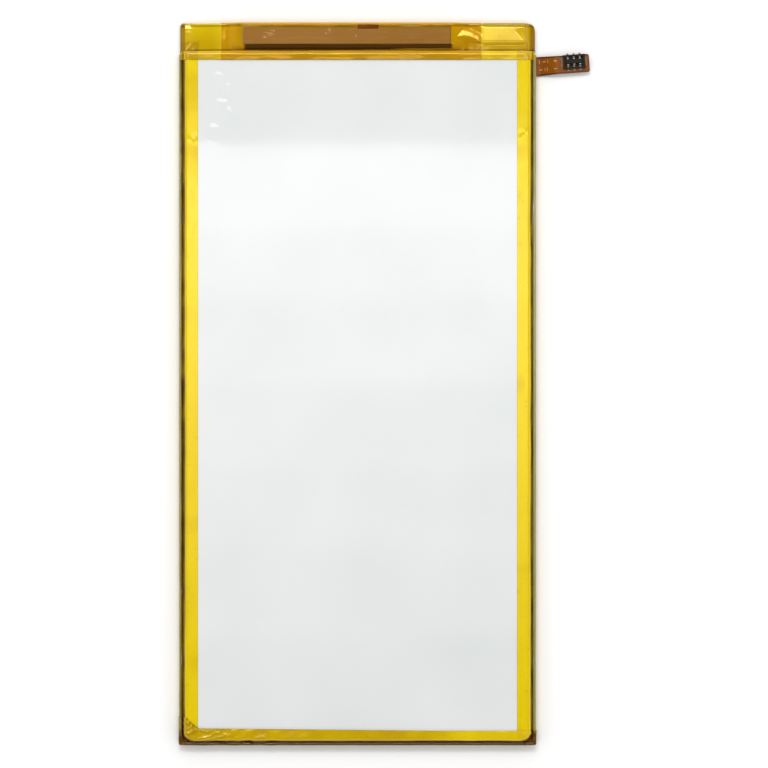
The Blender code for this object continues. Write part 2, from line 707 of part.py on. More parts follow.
def make_tabs(nickel, aluminium, film_finish):
    """Each tab leaves the seal through its film, turns up and folds back onto its weld pad."""
    seal = FLANGE_FRONT + FIT_CLEARANCE
    low = FLANGE_BOTTOM + FLANGE_THICKNESS / 2
    turn = seal + TAB_FOLD_REACH - TAB_BEND_RADIUS
    path = [(seal, low)]
    path += arc((turn, low + TAB_BEND_RADIUS), TAB_BEND_RADIUS, -90, 0, 4)
    path += arc((turn, TAB_HEIGHT - TAB_BEND_RADIUS), TAB_BEND_RADIUS, 0, 90, 4)
    path.append((BOARD_BACK + BOARD_WIDTH - TAB_WELD_LENGTH, TAB_HEIGHT))
    film_width = TAB_WIDTH + 2 * FILM_MARGIN
    film_height = TAB_THICKNESS + 2 * FILM_THICKNESS
    poles = (("negative", NEGATIVE_TAB_X, nickel), ("positive", POSITIVE_TAB_X, aluminium))
    for pole, x, finish in poles:
        strip_along(pole + "_tab", path, TAB_WIDTH, TAB_THICKNESS, finish, PACK, (x, 0, 0))
        film = block(
            pole + "_tab_film",
            (x - film_width / 2, seal, low - film_height / 2),
            (x + film_width / 2, seal + FILM_LENGTH, low + film_height / 2),
            film_finish,
        )
        reach = TAB_WIDTH / 2 + FIT_CLEARANCE
        rise = TAB_THICKNESS / 2 + FIT_CLEARANCE
        slot = block(
            pole + "_tab_slot",
            (x - reach, seal - FILM_LENGTH, low - rise),
            (x + reach, seal + 2 * FILM_LENGTH, low + rise),
        )
        boolean(film, make_helper(slot), "DIFFERENCE")


def tail_point(distance, across):
    """A place on the tail, from where it leaves the body, turned by the tail's angle."""
    root = Vector((HALF_WIDTH + TAIL_FLAT, TAIL_Y))
    along = Vector((math.cos(TAIL_ANGLE), math.sin(TAIL_ANGLE)))
    side = Vector((-along.y, along.x))
    return root + along * distance + side * across


def extrude_edge(bm, edge, ends):
    """Draws an edge out to two new places, listed in the order of its own corners."""
    targets = {tuple(vert.co): Vector(end) for vert, end in zip(edge.verts, ends)}
    made = bmesh.ops.extrude_edge_only(bm, edges=[edge])["geom"]
    new_edge = next(item for item in made if isinstance(item, bmesh.types.BMEdge))
    for vert in new_edge.verts:
        vert.co = targets[tuple(vert.co)]
    return new_edge


def edge_between(bm, first, second):
    """The edge whose two ends lie nearest these places."""

    def distance(edge):
        one, other = (vert.co for vert in edge.verts)
        return min(
            (one - first).length + (other - second).length,
            (one - second).length + (other - first).length,
        )

    return min(bm.edges, key=distance)


def make_flex(finish):
    """One sheet: soldered under the board, bent under the terrace, then out sideways as the tail."""
    back = BOARD_BACK + FLEX_ARM_SETBACK
    front = back + FLEX_ARM_WIDTH
    start = BOARD_RIGHT - FLEX_SOLDER_LAP
    bm = bmesh.new()
    first = [bm.verts.new((start, y, FLEX_HIGH)) for y in (back, front)]
    edge = bm.edges.new(first)
    bend_middle = (FLEX_BEND_X, FLEX_LOW + FLEX_BEND_RADIUS)
    for x, z in arc(bend_middle, FLEX_BEND_RADIUS, 90, -90, BEND_STEPS):
        edge = extrude_edge(bm, edge, [(x, vert.co.y, z) for vert in edge.verts])
    edge = extrude_edge(bm, edge, [(FLEX_LEG_LEFT, vert.co.y, FLEX_LOW) for vert in edge.verts])

    low_left = Vector((FLEX_LEG_LEFT, back, FLEX_LOW))
    low_right = Vector((FLEX_BEND_X, back, FLEX_LOW))
    edge = edge_between(bm, low_left, low_right)
    tail_back = TAIL_Y - TAIL_ROOT_WIDTH / 2
    tail_front = TAIL_Y + TAIL_ROOT_WIDTH / 2
    for y in (tail_front, tail_back):
        edge = extrude_edge(bm, edge, [(vert.co.x, y, FLEX_LOW) for vert in edge.verts])

    root_back = Vector((FLEX_BEND_X, tail_back, FLEX_LOW))
    root_front = Vector((FLEX_BEND_X, tail_front, FLEX_LOW))
    edge = edge_between(bm, root_back, root_front)
    length = (TAIL_REACH - TAIL_FLAT) / math.cos(TAIL_ANGLE)
    rows = [TAIL_RAMP * step / RAMP_STEPS for step in range(RAMP_STEPS + 1)] + [length]
    for distance in rows:
        share = min(distance / TAIL_RAMP, 1.0)
        height = FLEX_LOW + TAIL_LIFT * share * share * (3 - 2 * share)
        width = TAIL_ROOT_WIDTH + (TAIL_TIP_WIDTH - TAIL_ROOT_WIDTH) * share
        ends = []
        for vert in edge.verts:
            side = 1 if vert.co.y > TAIL_Y + (vert.co.x - HALF_WIDTH) * math.tan(TAIL_ANGLE) else -1
            ends.append((*tail_point(distance, side * width / 2), height))
        edge = extrude_edge(bm, edge, ends)
    bmesh.ops.recalc_face_normals(bm, faces=bm.faces)
    tip = list(edge.verts)
    bmesh.ops.bevel(bm, geom=tip, offset=FLEX_CORNER_RADIUS, segments=3, profile=0.5, affect="VERTICES")
    return thicken(add_object("flex_circuit", bm, finish), FLEX_THICKNESS)


def make_connector_seat():
    """The connector's own frame: its origin on the flex under the middle of the housing."""
    length = (TAIL_REACH - TAIL_FLAT) / math.cos(TAIL_ANGLE)
    place = tail_point(length - HOUSING_END_INSET - HOUSING_LENGTH / 2, HOUSING_OFFSET)
    seat = bpy.data.objects.new("connector_seat", None)
    seat.location = (*place, TAIL_TOP)
    seat.rotation_euler = (0, 0, TAIL_ANGLE)
    seat.parent = PACK
    PARTS.objects.link(seat)
    return seat


def make_stiffener(seat, finish):
    top = -FLEX_THICKNESS - FIT_CLEARANCE
    right = HOUSING_LENGTH / 2 + HOUSING_END_INSET
    half = TAIL_TIP_WIDTH / 2
    bm = block_mesh((STIFFENER_LENGTH, 2 * half, STIFFENER_THICKNESS))
    corner = (FLEX_CORNER_RADIUS, 3)
    round_edges(bm, lambda one, other: (one - other).xy.length < WELD_DISTANCE, *corner)
    centre = (right - STIFFENER_LENGTH / 2, -HOUSING_OFFSET, top - STIFFENER_THICKNESS / 2)
    return add_object("connector_stiffener", bm, finish, seat, centre)


def contact_columns():
    middle = (CONTACT_COLUMNS - 1) / 2
    return [(column - middle) * CONTACT_PITCH for column in range(CONTACT_COLUMNS)]


def make_housing(seat, finish):
    """A tray with an island down its middle, open at the foot of each contact."""
    half_length = HOUSING_LENGTH / 2
    half_width = HOUSING_WIDTH / 2
    housing = block(
        "connector_housing",
        (-half_length, -half_width, FIT_CLEARANCE),
        (half_length, half_width, HOUSING_HEIGHT),
        finish,
        seat,
    )
    bevel(housing, CONTACT_CLEARANCE)
    ring = block(
        "housing_channel",
        (-half_length + HOUSING_WALL, -half_width + HOUSING_WALL, HOUSING_FLOOR),
        (half_length - HOUSING_WALL, half_width - HOUSING_WALL, 2 * HOUSING_HEIGHT),
    )
    island = block(
        "housing_island",
        (-ISLAND_LENGTH / 2, -ISLAND_WIDTH / 2, 0),
        (ISLAND_LENGTH / 2, ISLAND_WIDTH / 2, 3 * HOUSING_HEIGHT),
    )
    for helper in (ring, island):
        make_helper(helper)
        helper.parent = seat
    boolean(ring, island, "DIFFERENCE")
    boolean(housing, ring, "DIFFERENCE")
    inner = ISLAND_WIDTH / 2 + CONTACT_CLEARANCE
    outer = half_width + CONTACT_TAIL
    for side in (-1, 1):
        for number, x in enumerate(contact_columns()):
            half = CONTACT_WIDTH / 2 + CONTACT_CLEARANCE
            ends = sorted((side * inner, side * outer))
            slot = block(
                f"contact_slot_{side}_{number}",
                (x - half, ends[0], -FIT_CLEARANCE),
                (x + half, ends[1], HOUSING_FLOOR + CONTACT_CLEARANCE),
            )
            make_helper(slot).parent = seat
            boolean(housing, slot, "DIFFERENCE")
    return housing


def contact_path():
    """A contact from its solder tail under the wall, up in the channel and over towards the wall."""
    foot = FIT_CLEARANCE + CONTACT_THICKNESS / 2
    radius = CONTACT_BEND_RADIUS
    turn = ISLAND_WIDTH / 2 + 2 * CONTACT_CLEARANCE + CONTACT_THICKNESS / 2 + radius
    crest = foot + radius + CONTACT_RISE
    path = [(HOUSING_WIDTH / 2 + CONTACT_TAIL - CONTACT_CLEARANCE, foot)]
    path += arc((turn, foot + radius), radius, -90, -180, 3)
    path += arc((turn, crest), radius, 180, 0, 6)
    path.append((turn + radius, crest - CONTACT_RISE / 2))
    return path


def make_contacts(seat, finish):
    number = 1
    for side in (1, -1):
        path = [(side * y, z) for y, z in contact_path()]
        for x in contact_columns():
            name = f"connector_contact_{number}"
            strip_along(name, path, CONTACT_WIDTH, CONTACT_THICKNESS, finish, seat, (x, 0, 0))
            number += 1


def make_hold_downs(seat, finish):
    foot = FIT_CLEARANCE + CONTACT_THICKNESS / 2
    wall = HOUSING_LENGTH / 2 + FIT_CLEARANCE + CONTACT_THICKNESS / 2
    radius = CONTACT_BEND_RADIUS
    for name, side in (("left_hold_down", -1), ("right_hold_down", 1)):
        path = [(side * (wall + HOLD_DOWN_FOOT), foot)]
        bend = arc((wall + radius, foot + radius), radius, -90, -180, 3)
        path += [(side * x, z) for x, z in bend]
        path.append((side * wall, HOLD_DOWN_HEIGHT))
        strip_along(
            name, path, HOLD_DOWN_WIDTH, CONTACT_THICKNESS, finish, seat, (0, 0, 0), across="Y"
        )


def make_battery():
    laminate = material("pouch_laminate", linear(232, 236, 234), 0.32, 0.4)
    yellow = material("yellow_polyimide_tape", linear(246, 222, 68), 0.22)
    amber = material("amber_polyimide_tape", linear(203, 150, 8), 0.22)
    fibre = material("fibre_paper", linear(154, 111, 54), 0.75)
    board = material("circuit_board", linear(70, 98, 52), 0.5)
    nickel = material("nickel", linear(190, 186, 176), 0.3, 1.0)
    aluminium = material("aluminium", linear(214, 216, 218), 0.35, 1.0)
    film = material("tab_film", linear(226, 226, 220), 0.5)
    flex = material("flex_film", linear(156, 92, 22), 0.3)
    stiffener = material("stiffener", linear(122, 84, 38), 0.5)
    housing = material("connector_plastic", linear(28, 22, 20), 0.45)
    gold = material("gold_plate", linear(206, 190, 150), 0.25, 1.0)
    package = material("chip_package", linear(34, 34, 36), 0.5)
    ceramic = material("chip_ceramic", linear(168, 140, 104), 0.5)
    resistor = material("chip_resistor", linear(48, 46, 50), 0.4)

    make_pouch(laminate)
    make_side_tapes(yellow)
    make_bottom_tape(yellow)
    make_terrace_tapes(yellow, amber)
    make_fibre_strip(fibre)
    make_terrace_insulation(amber)
    make_board(board, nickel)
    make_board_parts(package, ceramic, resistor, nickel)
    make_tabs(nickel, aluminium, film)
    make_flex(flex)
    seat = make_connector_seat()
    make_stiffener(seat, stiffener)
    make_housing(seat, housing)
    make_contacts(seat, gold)
    make_hold_downs(seat, nickel)


make_battery()
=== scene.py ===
"""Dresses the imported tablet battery: wrapped tapes with their creases, the laminate's dents, the
fibre strip, the flex tail and its connector, lit and framed as in the photograph.

Lengths are in millimetres until a mesh is made. x, y and z are those of the part.
"""

import json
import math

import bmesh
import bpy
import numpy as np
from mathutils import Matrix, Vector


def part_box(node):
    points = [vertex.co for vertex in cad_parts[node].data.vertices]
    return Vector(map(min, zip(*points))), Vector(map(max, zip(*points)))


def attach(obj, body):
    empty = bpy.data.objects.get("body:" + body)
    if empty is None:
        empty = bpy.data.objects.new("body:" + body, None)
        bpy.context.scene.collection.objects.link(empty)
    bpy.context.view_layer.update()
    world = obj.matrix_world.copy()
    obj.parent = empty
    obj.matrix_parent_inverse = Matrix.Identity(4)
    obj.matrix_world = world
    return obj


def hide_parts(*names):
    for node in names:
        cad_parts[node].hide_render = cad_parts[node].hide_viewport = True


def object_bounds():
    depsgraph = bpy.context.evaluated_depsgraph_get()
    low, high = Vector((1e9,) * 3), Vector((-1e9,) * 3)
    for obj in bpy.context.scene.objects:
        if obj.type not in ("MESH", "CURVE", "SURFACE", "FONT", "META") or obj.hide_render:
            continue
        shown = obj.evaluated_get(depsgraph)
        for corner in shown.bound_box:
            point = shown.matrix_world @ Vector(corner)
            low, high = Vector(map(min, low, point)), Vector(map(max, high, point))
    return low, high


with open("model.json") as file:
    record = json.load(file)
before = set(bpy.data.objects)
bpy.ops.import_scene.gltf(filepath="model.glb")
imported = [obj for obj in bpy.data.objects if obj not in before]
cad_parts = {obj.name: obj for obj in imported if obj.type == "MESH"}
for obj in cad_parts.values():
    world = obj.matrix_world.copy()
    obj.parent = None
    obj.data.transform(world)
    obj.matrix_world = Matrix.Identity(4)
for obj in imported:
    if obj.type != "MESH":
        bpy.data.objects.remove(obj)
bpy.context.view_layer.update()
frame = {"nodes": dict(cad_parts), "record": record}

MM = 0.001


def box_mm(name):
    low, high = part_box(name)
    return np.array(low) / MM, np.array(high) / MM


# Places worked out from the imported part
CELL_LOW, CELL_HIGH = box_mm("pouch_cell")
SIDE_LOW, SIDE_HIGH = box_mm("right_side_tape")
TOP_LOW, TOP_HIGH = box_mm("top_tape")
BOTTOM_HIGH = box_mm("bottom_tape")[1]
AMBER_LOW, AMBER_HIGH = box_mm("amber_tape")
STRIP_LOW, STRIP_HIGH = box_mm("fibre_strip")
BOARD_LOW, BOARD_HIGH = box_mm("protection_board")
FLEX_HIGH = box_mm("flex_circuit")[1]

FACE = CELL_HIGH[2]
SEAM_SIDE = CELL_HIGH[0]
SEAM_BOTTOM = -CELL_LOW[1]
SIDE_TAPE_EDGE = SIDE_LOW[0]
TOP_TAPE_EDGE = TOP_LOW[1]
BOTTOM_TAPE_EDGE = -BOTTOM_HIGH[1]

# The pouch's form at its edges: the tape's thickness and the step from layer to layer, the cup's
# rounded shoulder, and the groove between the cup and the folded seam
TAPE = 0.05
TAPE_PITCH = 0.065
SHOULDER = 0.8
GROOVE = 0.45
CUP_CORNER = 2.0
CUP_SIDE = SEAM_SIDE - 0.5 - GROOVE
CUP_BOTTOM = SEAM_BOTTOM - 0.36 - GROOVE
CUP_TOP = CELL_HIGH[1] - 5.2
# The folded seam: its height, the radii of its edges, and the underside's height and laps
SEAM_TOP = 2.45
SEAM_EDGE = 0.12
SEAM_FOLD = 0.25
SEAM_CORNER = 0.3
VALLEY_DEPTH = 0.5
UNDER = 0.36
UNDER_LAP = 2.9


def outer(layer):
    """How far the outside of a tape layer lies from the surface under layer 0."""
    return (layer + 1) * TAPE_PITCH


# Numbers that vary smoothly over a surface

def smooth(value, low, high):
    share = np.clip((value - low) / (high - low), 0, 1)
    return share * share * (3 - 2 * share)


def window(value, low, high, soft):
    """1 between low and high, 0 outside, with soft edges."""
    return smooth(value, low - soft, low) * (1 - smooth(value, high, high + soft))


def patch(x, y, area, soft):
    """1 in an area (left, right, low, high), 0 outside, with soft edges."""
    return window(x, area[0], area[1], soft) * window(y, area[2], area[3], soft)


def grain(u, v, size, seed):
    """Smooth random heights from -1 to 1 whose bumps are about size across."""
    table = np.random.RandomState(seed).uniform(-1, 1, (257, 257))
    u, v = u / size + 1000.0, v / size + 1000.0
    iu, iv = np.floor(u).astype(int), np.floor(v).astype(int)
    fu, fv = u - iu, v - iv
    fu, fv = fu * fu * (3 - 2 * fu), fv * fv * (3 - 2 * fv)
    iu, iv = iu % 256, iv % 256
    low = table[iu, iv] * (1 - fu) + table[iu + 1, iv] * fu
    high = table[iu, iv + 1] * (1 - fu) + table[iu + 1, iv + 1] * fu
    return low * (1 - fv) + high * fv


def crumple(u, v, size, seed, waves=6):
    """Flat facets that meet in sharp folds, from -1 to 1, each facet about size across."""
    random = np.random.RandomState(seed)
    total = np.zeros_like(u, dtype=float)
    bend = grain(u, v, size * 1.7, seed + 1) * 0.35
    for _ in range(waves):
        angle = random.uniform(0, math.pi)
        pitch = size * random.uniform(1.4, 3.2)
        phase = (u * math.cos(angle) + v * math.sin(angle)) / pitch + random.uniform(0, 1) + bend
        total += np.abs((phase % 1) * 2 - 1) * 2 - 1
    return total / waves * 1.8


def pleats(u, v, pitch, seed):
    """Slopes that fall towards +v and end in shorter steps back up, from 0 to 1."""
    phase = v / pitch + grain(u, v, pitch * 1.3, seed) * 0.55 + grain(u, v, pitch * 0.6, seed + 1) * 0.2
    part = phase % 1
    return np.minimum((1 - part) / 0.6, part / 0.4)


def crease(u, v, start, end, width, height):
    """A fold line between two places, with soft flanks and a sharp crest."""
    start, end = np.array(start, float), np.array(end, float)
    way = end - start
    share = ((u - start[0]) * way[0] + (v - start[1]) * way[1]) / way.dot(way)
    held = np.clip(share, 0, 1)
    away = np.hypot(u - start[0] - held * way[0], v - start[1] - held * way[1])
    ends = 1 - np.abs(held * 2 - 1) ** 4 * 0.7
    return height * ends * np.exp(-away / width)


def creases(u, v, lines):
    return sum((crease(u, v, *line) for line in lines), np.zeros_like(u, dtype=float))


# Meshes

def new_piece(name, mesh, slot, replaces=(), sharp=70, finish=None):
    """Adds a piece in its slot's finish or another, with edges past sharp degrees left sharp."""
    mesh.shade_smooth()
    mesh.set_sharp_from_angle(angle=math.radians(sharp))
    mesh.materials.append(FINISHES[finish or slot])
    made = bpy.data.objects.new(name, mesh)
    bpy.context.scene.collection.objects.link(made)
    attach(made, "root")
    if replaces:
        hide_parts(*replaces)


def grid_normals(points):
    across = np.gradient(points, axis=0)
    along = np.gradient(points, axis=1)
    normals = np.cross(across, along)
    return normals / np.maximum(np.linalg.norm(normals, axis=2, keepdims=True), 1e-12)


def new_film(name, points, slot, values):
    """A tape as a thin closed sheet over a grid of points (mm), with values for each point."""
    rows, columns, _ = points.shape
    inside = points - grid_normals(points) * TAPE
    count = rows * columns
    verts = np.concatenate([points.reshape(-1, 3), inside.reshape(-1, 3)]) * MM
    index = np.arange(count).reshape(rows, columns)
    a, b = index[:-1, :-1].ravel(), index[1:, :-1].ravel()
    c, d = index[1:, 1:].ravel(), index[:-1, 1:].ravel()
    faces = [np.stack([a, b, c, d], 1), np.stack([d, c, b, a], 1) + count]
    ring = np.concatenate([index[:, 0], index[-1, 1:], index[-2::-1, -1], index[0, -2:0:-1]])
    after = np.roll(ring, -1)
    faces.append(np.stack([after, ring, ring + count, after + count], 1))
    faces = np.concatenate(faces)
    mesh = bpy.data.meshes.new(name + "_film")
    mesh.from_pydata(verts.tolist(), [], faces.tolist())
    for key, value in values.items():
        layer = mesh.attributes.new(key, "FLOAT", "POINT")
        layer.data.foreach_set("value", np.tile(value.ravel(), 2).astype(np.float32))
    new_piece(name + "_film", mesh, slot, [name])


def resample(path, step):
    """A path with its corners kept, cut into pieces that are no longer than the step."""
    made = [np.array(path[0], float)]
    for start, end in zip(path, path[1:]):
        start, end = np.array(start, float), np.array(end, float)
        parts = max(1, int(math.ceil(np.linalg.norm(end - start) / step)))
        made += [start + (end - start) * part / parts for part in range(1, parts + 1)]
    return np.array(made)


def arc(centre, radius, start, end, count):
    angles = np.radians(np.linspace(start, end, count))
    return [(centre[0] + radius * math.cos(a), centre[1] + radius * math.sin(a)) for a in angles]


def edge_profile(reach, lap_end, cup_wall, inner, seam_wall, out):
    """The outside of a tape over the pouch's edge, from the face by the groove to the underside."""
    centre = (cup_wall - SHOULDER, FACE - SHOULDER)
    path = [(reach, FACE + out)]
    path += arc(centre, SHOULDER + out, 90, 8, 18)
    valley = (cup_wall + inner) / 2
    path.append((valley - 0.04, SEAM_TOP - VALLEY_DEPTH + out))
    path.append((valley + 0.03, SEAM_TOP - VALLEY_DEPTH + out))
    path += arc((inner + 0.1, SEAM_TOP - 0.1), 0.1 + out, 165, 90, 6)
    path += arc((seam_wall - SEAM_EDGE, SEAM_TOP - SEAM_EDGE), SEAM_EDGE + out, 90, 0, 6)
    path += arc((seam_wall - SEAM_FOLD, UNDER + SEAM_FOLD), SEAM_FOLD + out, 0, -90, 7)
    path.append((lap_end, UNDER - out))
    return path


def profile_grid(path, fine, coarse):
    """Points down an edge profile: fine steps from the face to the seam's wall, coarser ones below."""
    wall = max(index for index, point in enumerate(path) if point[1] > SEAM_TOP - 0.15)
    upper = resample(path[: wall + 1], fine)
    lower = resample(path[wall:], coarse)
    return np.concatenate([upper, lower[1:]])


def path_normals(points):
    way = np.gradient(points, axis=0)
    way /= np.maximum(np.linalg.norm(way, axis=1, keepdims=True), 1e-12)
    return np.stack([-way[:, 1], way[:, 0]], 1)


def path_length(points):
    return np.concatenate([[0], np.cumsum(np.linalg.norm(np.diff(points, axis=0), axis=1))])


# Materials

def linear(*channels):
    """A colour as 0 to 255, as the linear values that a shader takes."""
    made = [c / 255 for c in channels]
    made = [c / 12.92 if c <= 0.04045 else ((c + 0.055) / 1.055) ** 2.4 for c in made]
    return (*made, 1.0)


class Finish:
    """A procedural material: a Principled shader and what feeds its colour, roughness and normal."""

    def __init__(self, name, colour, roughness, metallic=0.0):
        self.made = bpy.data.materials.new(name)
        self.made.use_nodes = True
        self.tree = self.made.node_tree
        self.shader = self.tree.nodes["Principled BSDF"]
        self.colour = colour
        self.set("Base Color", colour)
        self.set("Roughness", roughness)
        self.set("Metallic", metallic)
        self.made.diffuse_color = colour
        self.place = self.add("ShaderNodeTexCoord").outputs["Object"]

    def set(self, socket, value):
        self.shader.inputs[socket].default_value = value

    def add(self, kind, **settings):
        made = self.tree.nodes.new(kind)
        for key, value in settings.items():
            setattr(made, key, value)
        return made

    def link(self, output, socket):
        self.tree.links.new(output, socket)

    def noise(self, size, detail=3.0, stretch=(1, 1, 1)):
        """Random values from 0 to 1 whose bumps are about size (mm) across."""
        mapping = self.add("ShaderNodeMapping")
        mapping.inputs["Scale"].default_value = stretch
        self.link(self.place, mapping.inputs["Vector"])
        made = self.add("ShaderNodeTexNoise")
        made.inputs["Scale"].default_value = 1 / (size * MM)
        made.inputs["Detail"].default_value = detail
        self.link(mapping.outputs["Vector"], made.inputs["Vector"])
        return made.outputs["Fac"]

    def attribute(self, name):
        return self.add("ShaderNodeAttribute", attribute_name=name).outputs["Fac"]

    def ranged(self, value, low, high, to_low, to_high):
        made = self.add("ShaderNodeMapRange", clamp=True)
        for socket, number in zip(made.inputs[1:5], (low, high, to_low, to_high)):
            socket.default_value = number
        self.link(value, made.inputs[0])
        return made.outputs[0]

    def tint(self, value, low, high, most, colour):
        """Mixes another colour in, from none to most of it as a value goes from low to high."""
        share = self.ranged(value, low, high, 0, most)
        made = self.add("ShaderNodeMix", data_type="RGBA")
        colour_sockets = [s for s in made.inputs if s.type == "RGBA"]
        base = self.shader.inputs["Base Color"]
        if base.is_linked:
            self.link(base.links[0].from_socket, colour_sockets[0])
        else:
            colour_sockets[0].default_value = self.colour
        colour_sockets[1].default_value = colour
        self.link(share, made.inputs[0])
        output = next(s for s in made.outputs if s.type == "RGBA")
        self.link(output, base)

    def painted(self, name, colour, low=0, high=1, most=1):
        """Mixes a colour in as the mesh's attribute of that name goes from low to high."""
        self.tint(self.attribute(name), low, high, most, colour)

    def rough(self, value, low, high):
        """Roughness from low to high as a value goes from 0.3 to 0.7."""
        self.link(self.ranged(value, 0.3, 0.7, low, high), self.shader.inputs["Roughness"])

    def bump(self, value, depth):
        """Fine relief, depth (mm) from the lowest to the highest value."""
        made = self.add("ShaderNodeBump")
        made.inputs["Strength"].default_value = 1.0
        made.inputs["Distance"].default_value = depth * MM
        self.link(value, made.inputs["Height"])
        self.link(made.outputs["Normal"], self.shader.inputs["Normal"])


def pouch_finish():
    made = Finish("pouch_laminate", linear(232, 234, 233), 0.5)
    made.set("Coat Weight", 1.0)
    made.set("Coat Roughness", 0.045)
    made.set("Specular IOR Level", 0.05)
    made.tint(made.noise(22, 3), 0.35, 0.7, 0.5, linear(219, 224, 221))
    made.tint(made.noise(5.5, 4), 0.5, 0.75, 0.25, linear(236, 238, 237))
    made.tint(made.noise(1.1, 2), 0.72, 0.8, 0.12, linear(190, 194, 192))
    made.rough(made.noise(3.0, 5), 0.32, 0.42)
    made.bump(made.noise(0.35, 3), 0.0012)
    return made.made


def tape_finish(name, tones, shine):
    """Polyimide tape. The mesh's attribute tone turns it to the second colour, a deeper tone that in
    places is painted shade;
    another turns it to the dark one, for painted shade and the cut edges' dark line; ledge to a pale
    painted sheen;
    and another to red-brown painted shade."""
    colour, second, dark, ledge_sheen = (linear(*tone) for tone in tones)
    made = Finish(name, colour, 0.14, 0.08)
    made.set("IOR", 1.56)
    made.set("Specular Tint", shine)
    made.tint(made.noise(6, 3, (1, 0.35, 1)), 0.45, 0.75, 0.22, second)
    made.painted("tone", second)
    # A pale painted sheen on the seam's ledge
    made.painted("ledge", ledge_sheen)
    made.tint(made.noise(0.9, 4), 0.62, 0.8, 0.22, dark)
    # The dark colour: painted shade, and the cut edges' dark line, partly painted shadow and partly dirt
    made.painted("painted_shade_and_edges", dark)
    # Red-brown painted shade in the strip's notch, the corners' pits and the ends by the cup
    made.painted("red_shade", linear(112, 52, 1))
    made.rough(made.noise(1.6, 4), 0.1, 0.17)
    made.bump(made.noise(0.5, 3), 0.001)
    return made.made


def plain_finish(
    name, colour, other, roughness, metallic=0.0, size=0.6, relief=0.004, stretch=(1, 1, 1), shine=0.5
):
    """A material with two close tones, uneven roughness and fine relief."""
    made = Finish(name, linear(*colour), roughness, metallic)
    made.set("Specular IOR Level", shine)
    made.tint(made.noise(size, 4, stretch), 0.4, 0.7, 0.7, linear(*other))
    made.rough(made.noise(size * 0.7, 3, stretch), roughness * 0.8, min(roughness * 1.2, 1.0))
    made.bump(made.noise(size * 0.35, 3, stretch), relief)
    return made.made


def fibre_finish():
    made = Finish("fibre_paper", linear(152, 106, 46), 0.7)
    made.set("Specular IOR Level", 0.12)
    made.tint(made.noise(9, 3, (0.35, 1, 1)), 0.35, 0.7, 0.7, linear(138, 96, 34))
    made.tint(made.noise(0.7, 4, (0.15, 1, 1)), 0.5, 0.8, 0.4, linear(166, 122, 62))
    # Painted shade on the bent-down edge and rim; pale scuffs, with a painted glint at the left end
    made.painted("edge", linear(66, 36, 2))
    made.painted("scuff_and_glint", linear(214, 178, 126))
    made.rough(made.noise(0.5, 4), 0.55, 0.8)
    made.bump(made.noise(0.16, 4, (0.4, 1, 1)), 0.012)
    return made.made


def flex_finish():
    made = Finish("flex_film", linear(140, 77, 3), 0.2)
    made.set("Specular IOR Level", 0.4)
    made.tint(made.noise(1.6, 4), 0.4, 0.75, 0.5, linear(128, 68, 2))
    made.painted("border", linear(92, 46, 4), 0.3, 0.7)
    made.painted("mark", linear(214, 164, 104), 0.3, 0.7, 0.8)
    made.rough(made.noise(0.6, 3), 0.12, 0.22)
    made.bump(made.noise(0.25, 3), 0.002)
    return made.made


# Each tape's own colour, the second, the dark one for painted shade, and a pale one for the painted
# sheen on the seam's ledge
YELLOW_TONES = ((240, 211, 8), (200, 162, 1), (80, 56, 1), (156, 146, 90))
AMBER_TONES = ((206, 152, 4), (176, 132, 6), (64, 34, 1), (150, 120, 50))
FINISHES = {
    "pouch_laminate": pouch_finish(),
    "yellow_tape": tape_finish("yellow_tape", YELLOW_TONES, (1.0, 0.82, 0.6, 1)),
    "amber_tape": tape_finish("amber_tape", AMBER_TONES, (1.0, 0.72, 0.3, 1)),
    "fibre_paper": fibre_finish(),
    "flex_film": flex_finish(),
}

# Finishes with two tones: the first, the second, the roughness and what differs from the usual
ROLLED = {"metallic": 1.0, "size": 0.5, "relief": 0.003, "stretch": (1, 8, 1)}
PLATED = {"metallic": 1.0, "size": 0.2, "relief": 0.002}
MOULDED = {"size": 0.3, "relief": 0.003, "shine": 0.25}
PLAIN_FINISHES = {
    "circuit_board": ((60, 92, 52), (46, 76, 40), 0.4, {"size": 1.5}),
    "nickel": ((196, 190, 178), (168, 160, 146), 0.3, ROLLED),
    "aluminium": ((216, 218, 220), (196, 198, 202), 0.35, ROLLED),
    "tab_film": ((226, 226, 220), (208, 206, 194), 0.5, {"size": 0.8}),
    "stiffener": ((124, 84, 36), (104, 66, 24), 0.5, {"size": 0.8}),
    "connector_plastic": ((18, 13, 11), (26, 20, 17), 0.5, MOULDED),
    "gold_plate": ((166, 150, 122), (140, 120, 84), 0.34, PLATED),
    "chip_package": ((34, 34, 36), (44, 44, 46), 0.5, {"size": 0.4}),
    "chip_ceramic": ((168, 140, 104), (150, 122, 88), 0.5, {"size": 0.3}),
    "chip_resistor": ((44, 42, 46), (56, 54, 58), 0.35, {"size": 0.3}),
    "solder": ((186, 170, 152), (150, 132, 112), 0.4, {"metallic": 1.0, "size": 0.15, "relief": 0.003}),
    "dull_plate": ((132, 108, 80), (104, 80, 54), 0.4, {"metallic": 1.0, "size": 0.3, "relief": 0.003}),
}
for name, (colour, other, roughness, settings) in PLAIN_FINISHES.items():
    FINISHES[name] = plain_finish(name, colour, other, roughness, **settings)

for row in frame["record"]["subparts"]:
    node = frame["nodes"][row["node"]]
    node.material_slots[0].material = FINISHES[row["material_slot"]]


# Side tapes

SIDE_STEP = 0.4
FINE_STEP = 0.16
COARSE_STEP = 0.3
# Where shade is painted in the groove beside the cup, by side
DARK_BAND = {-1: (CUP_SIDE - 0.26, CUP_SIDE + 0.6), 1: (CUP_SIDE - 0.14, CUP_SIDE + 0.24)}


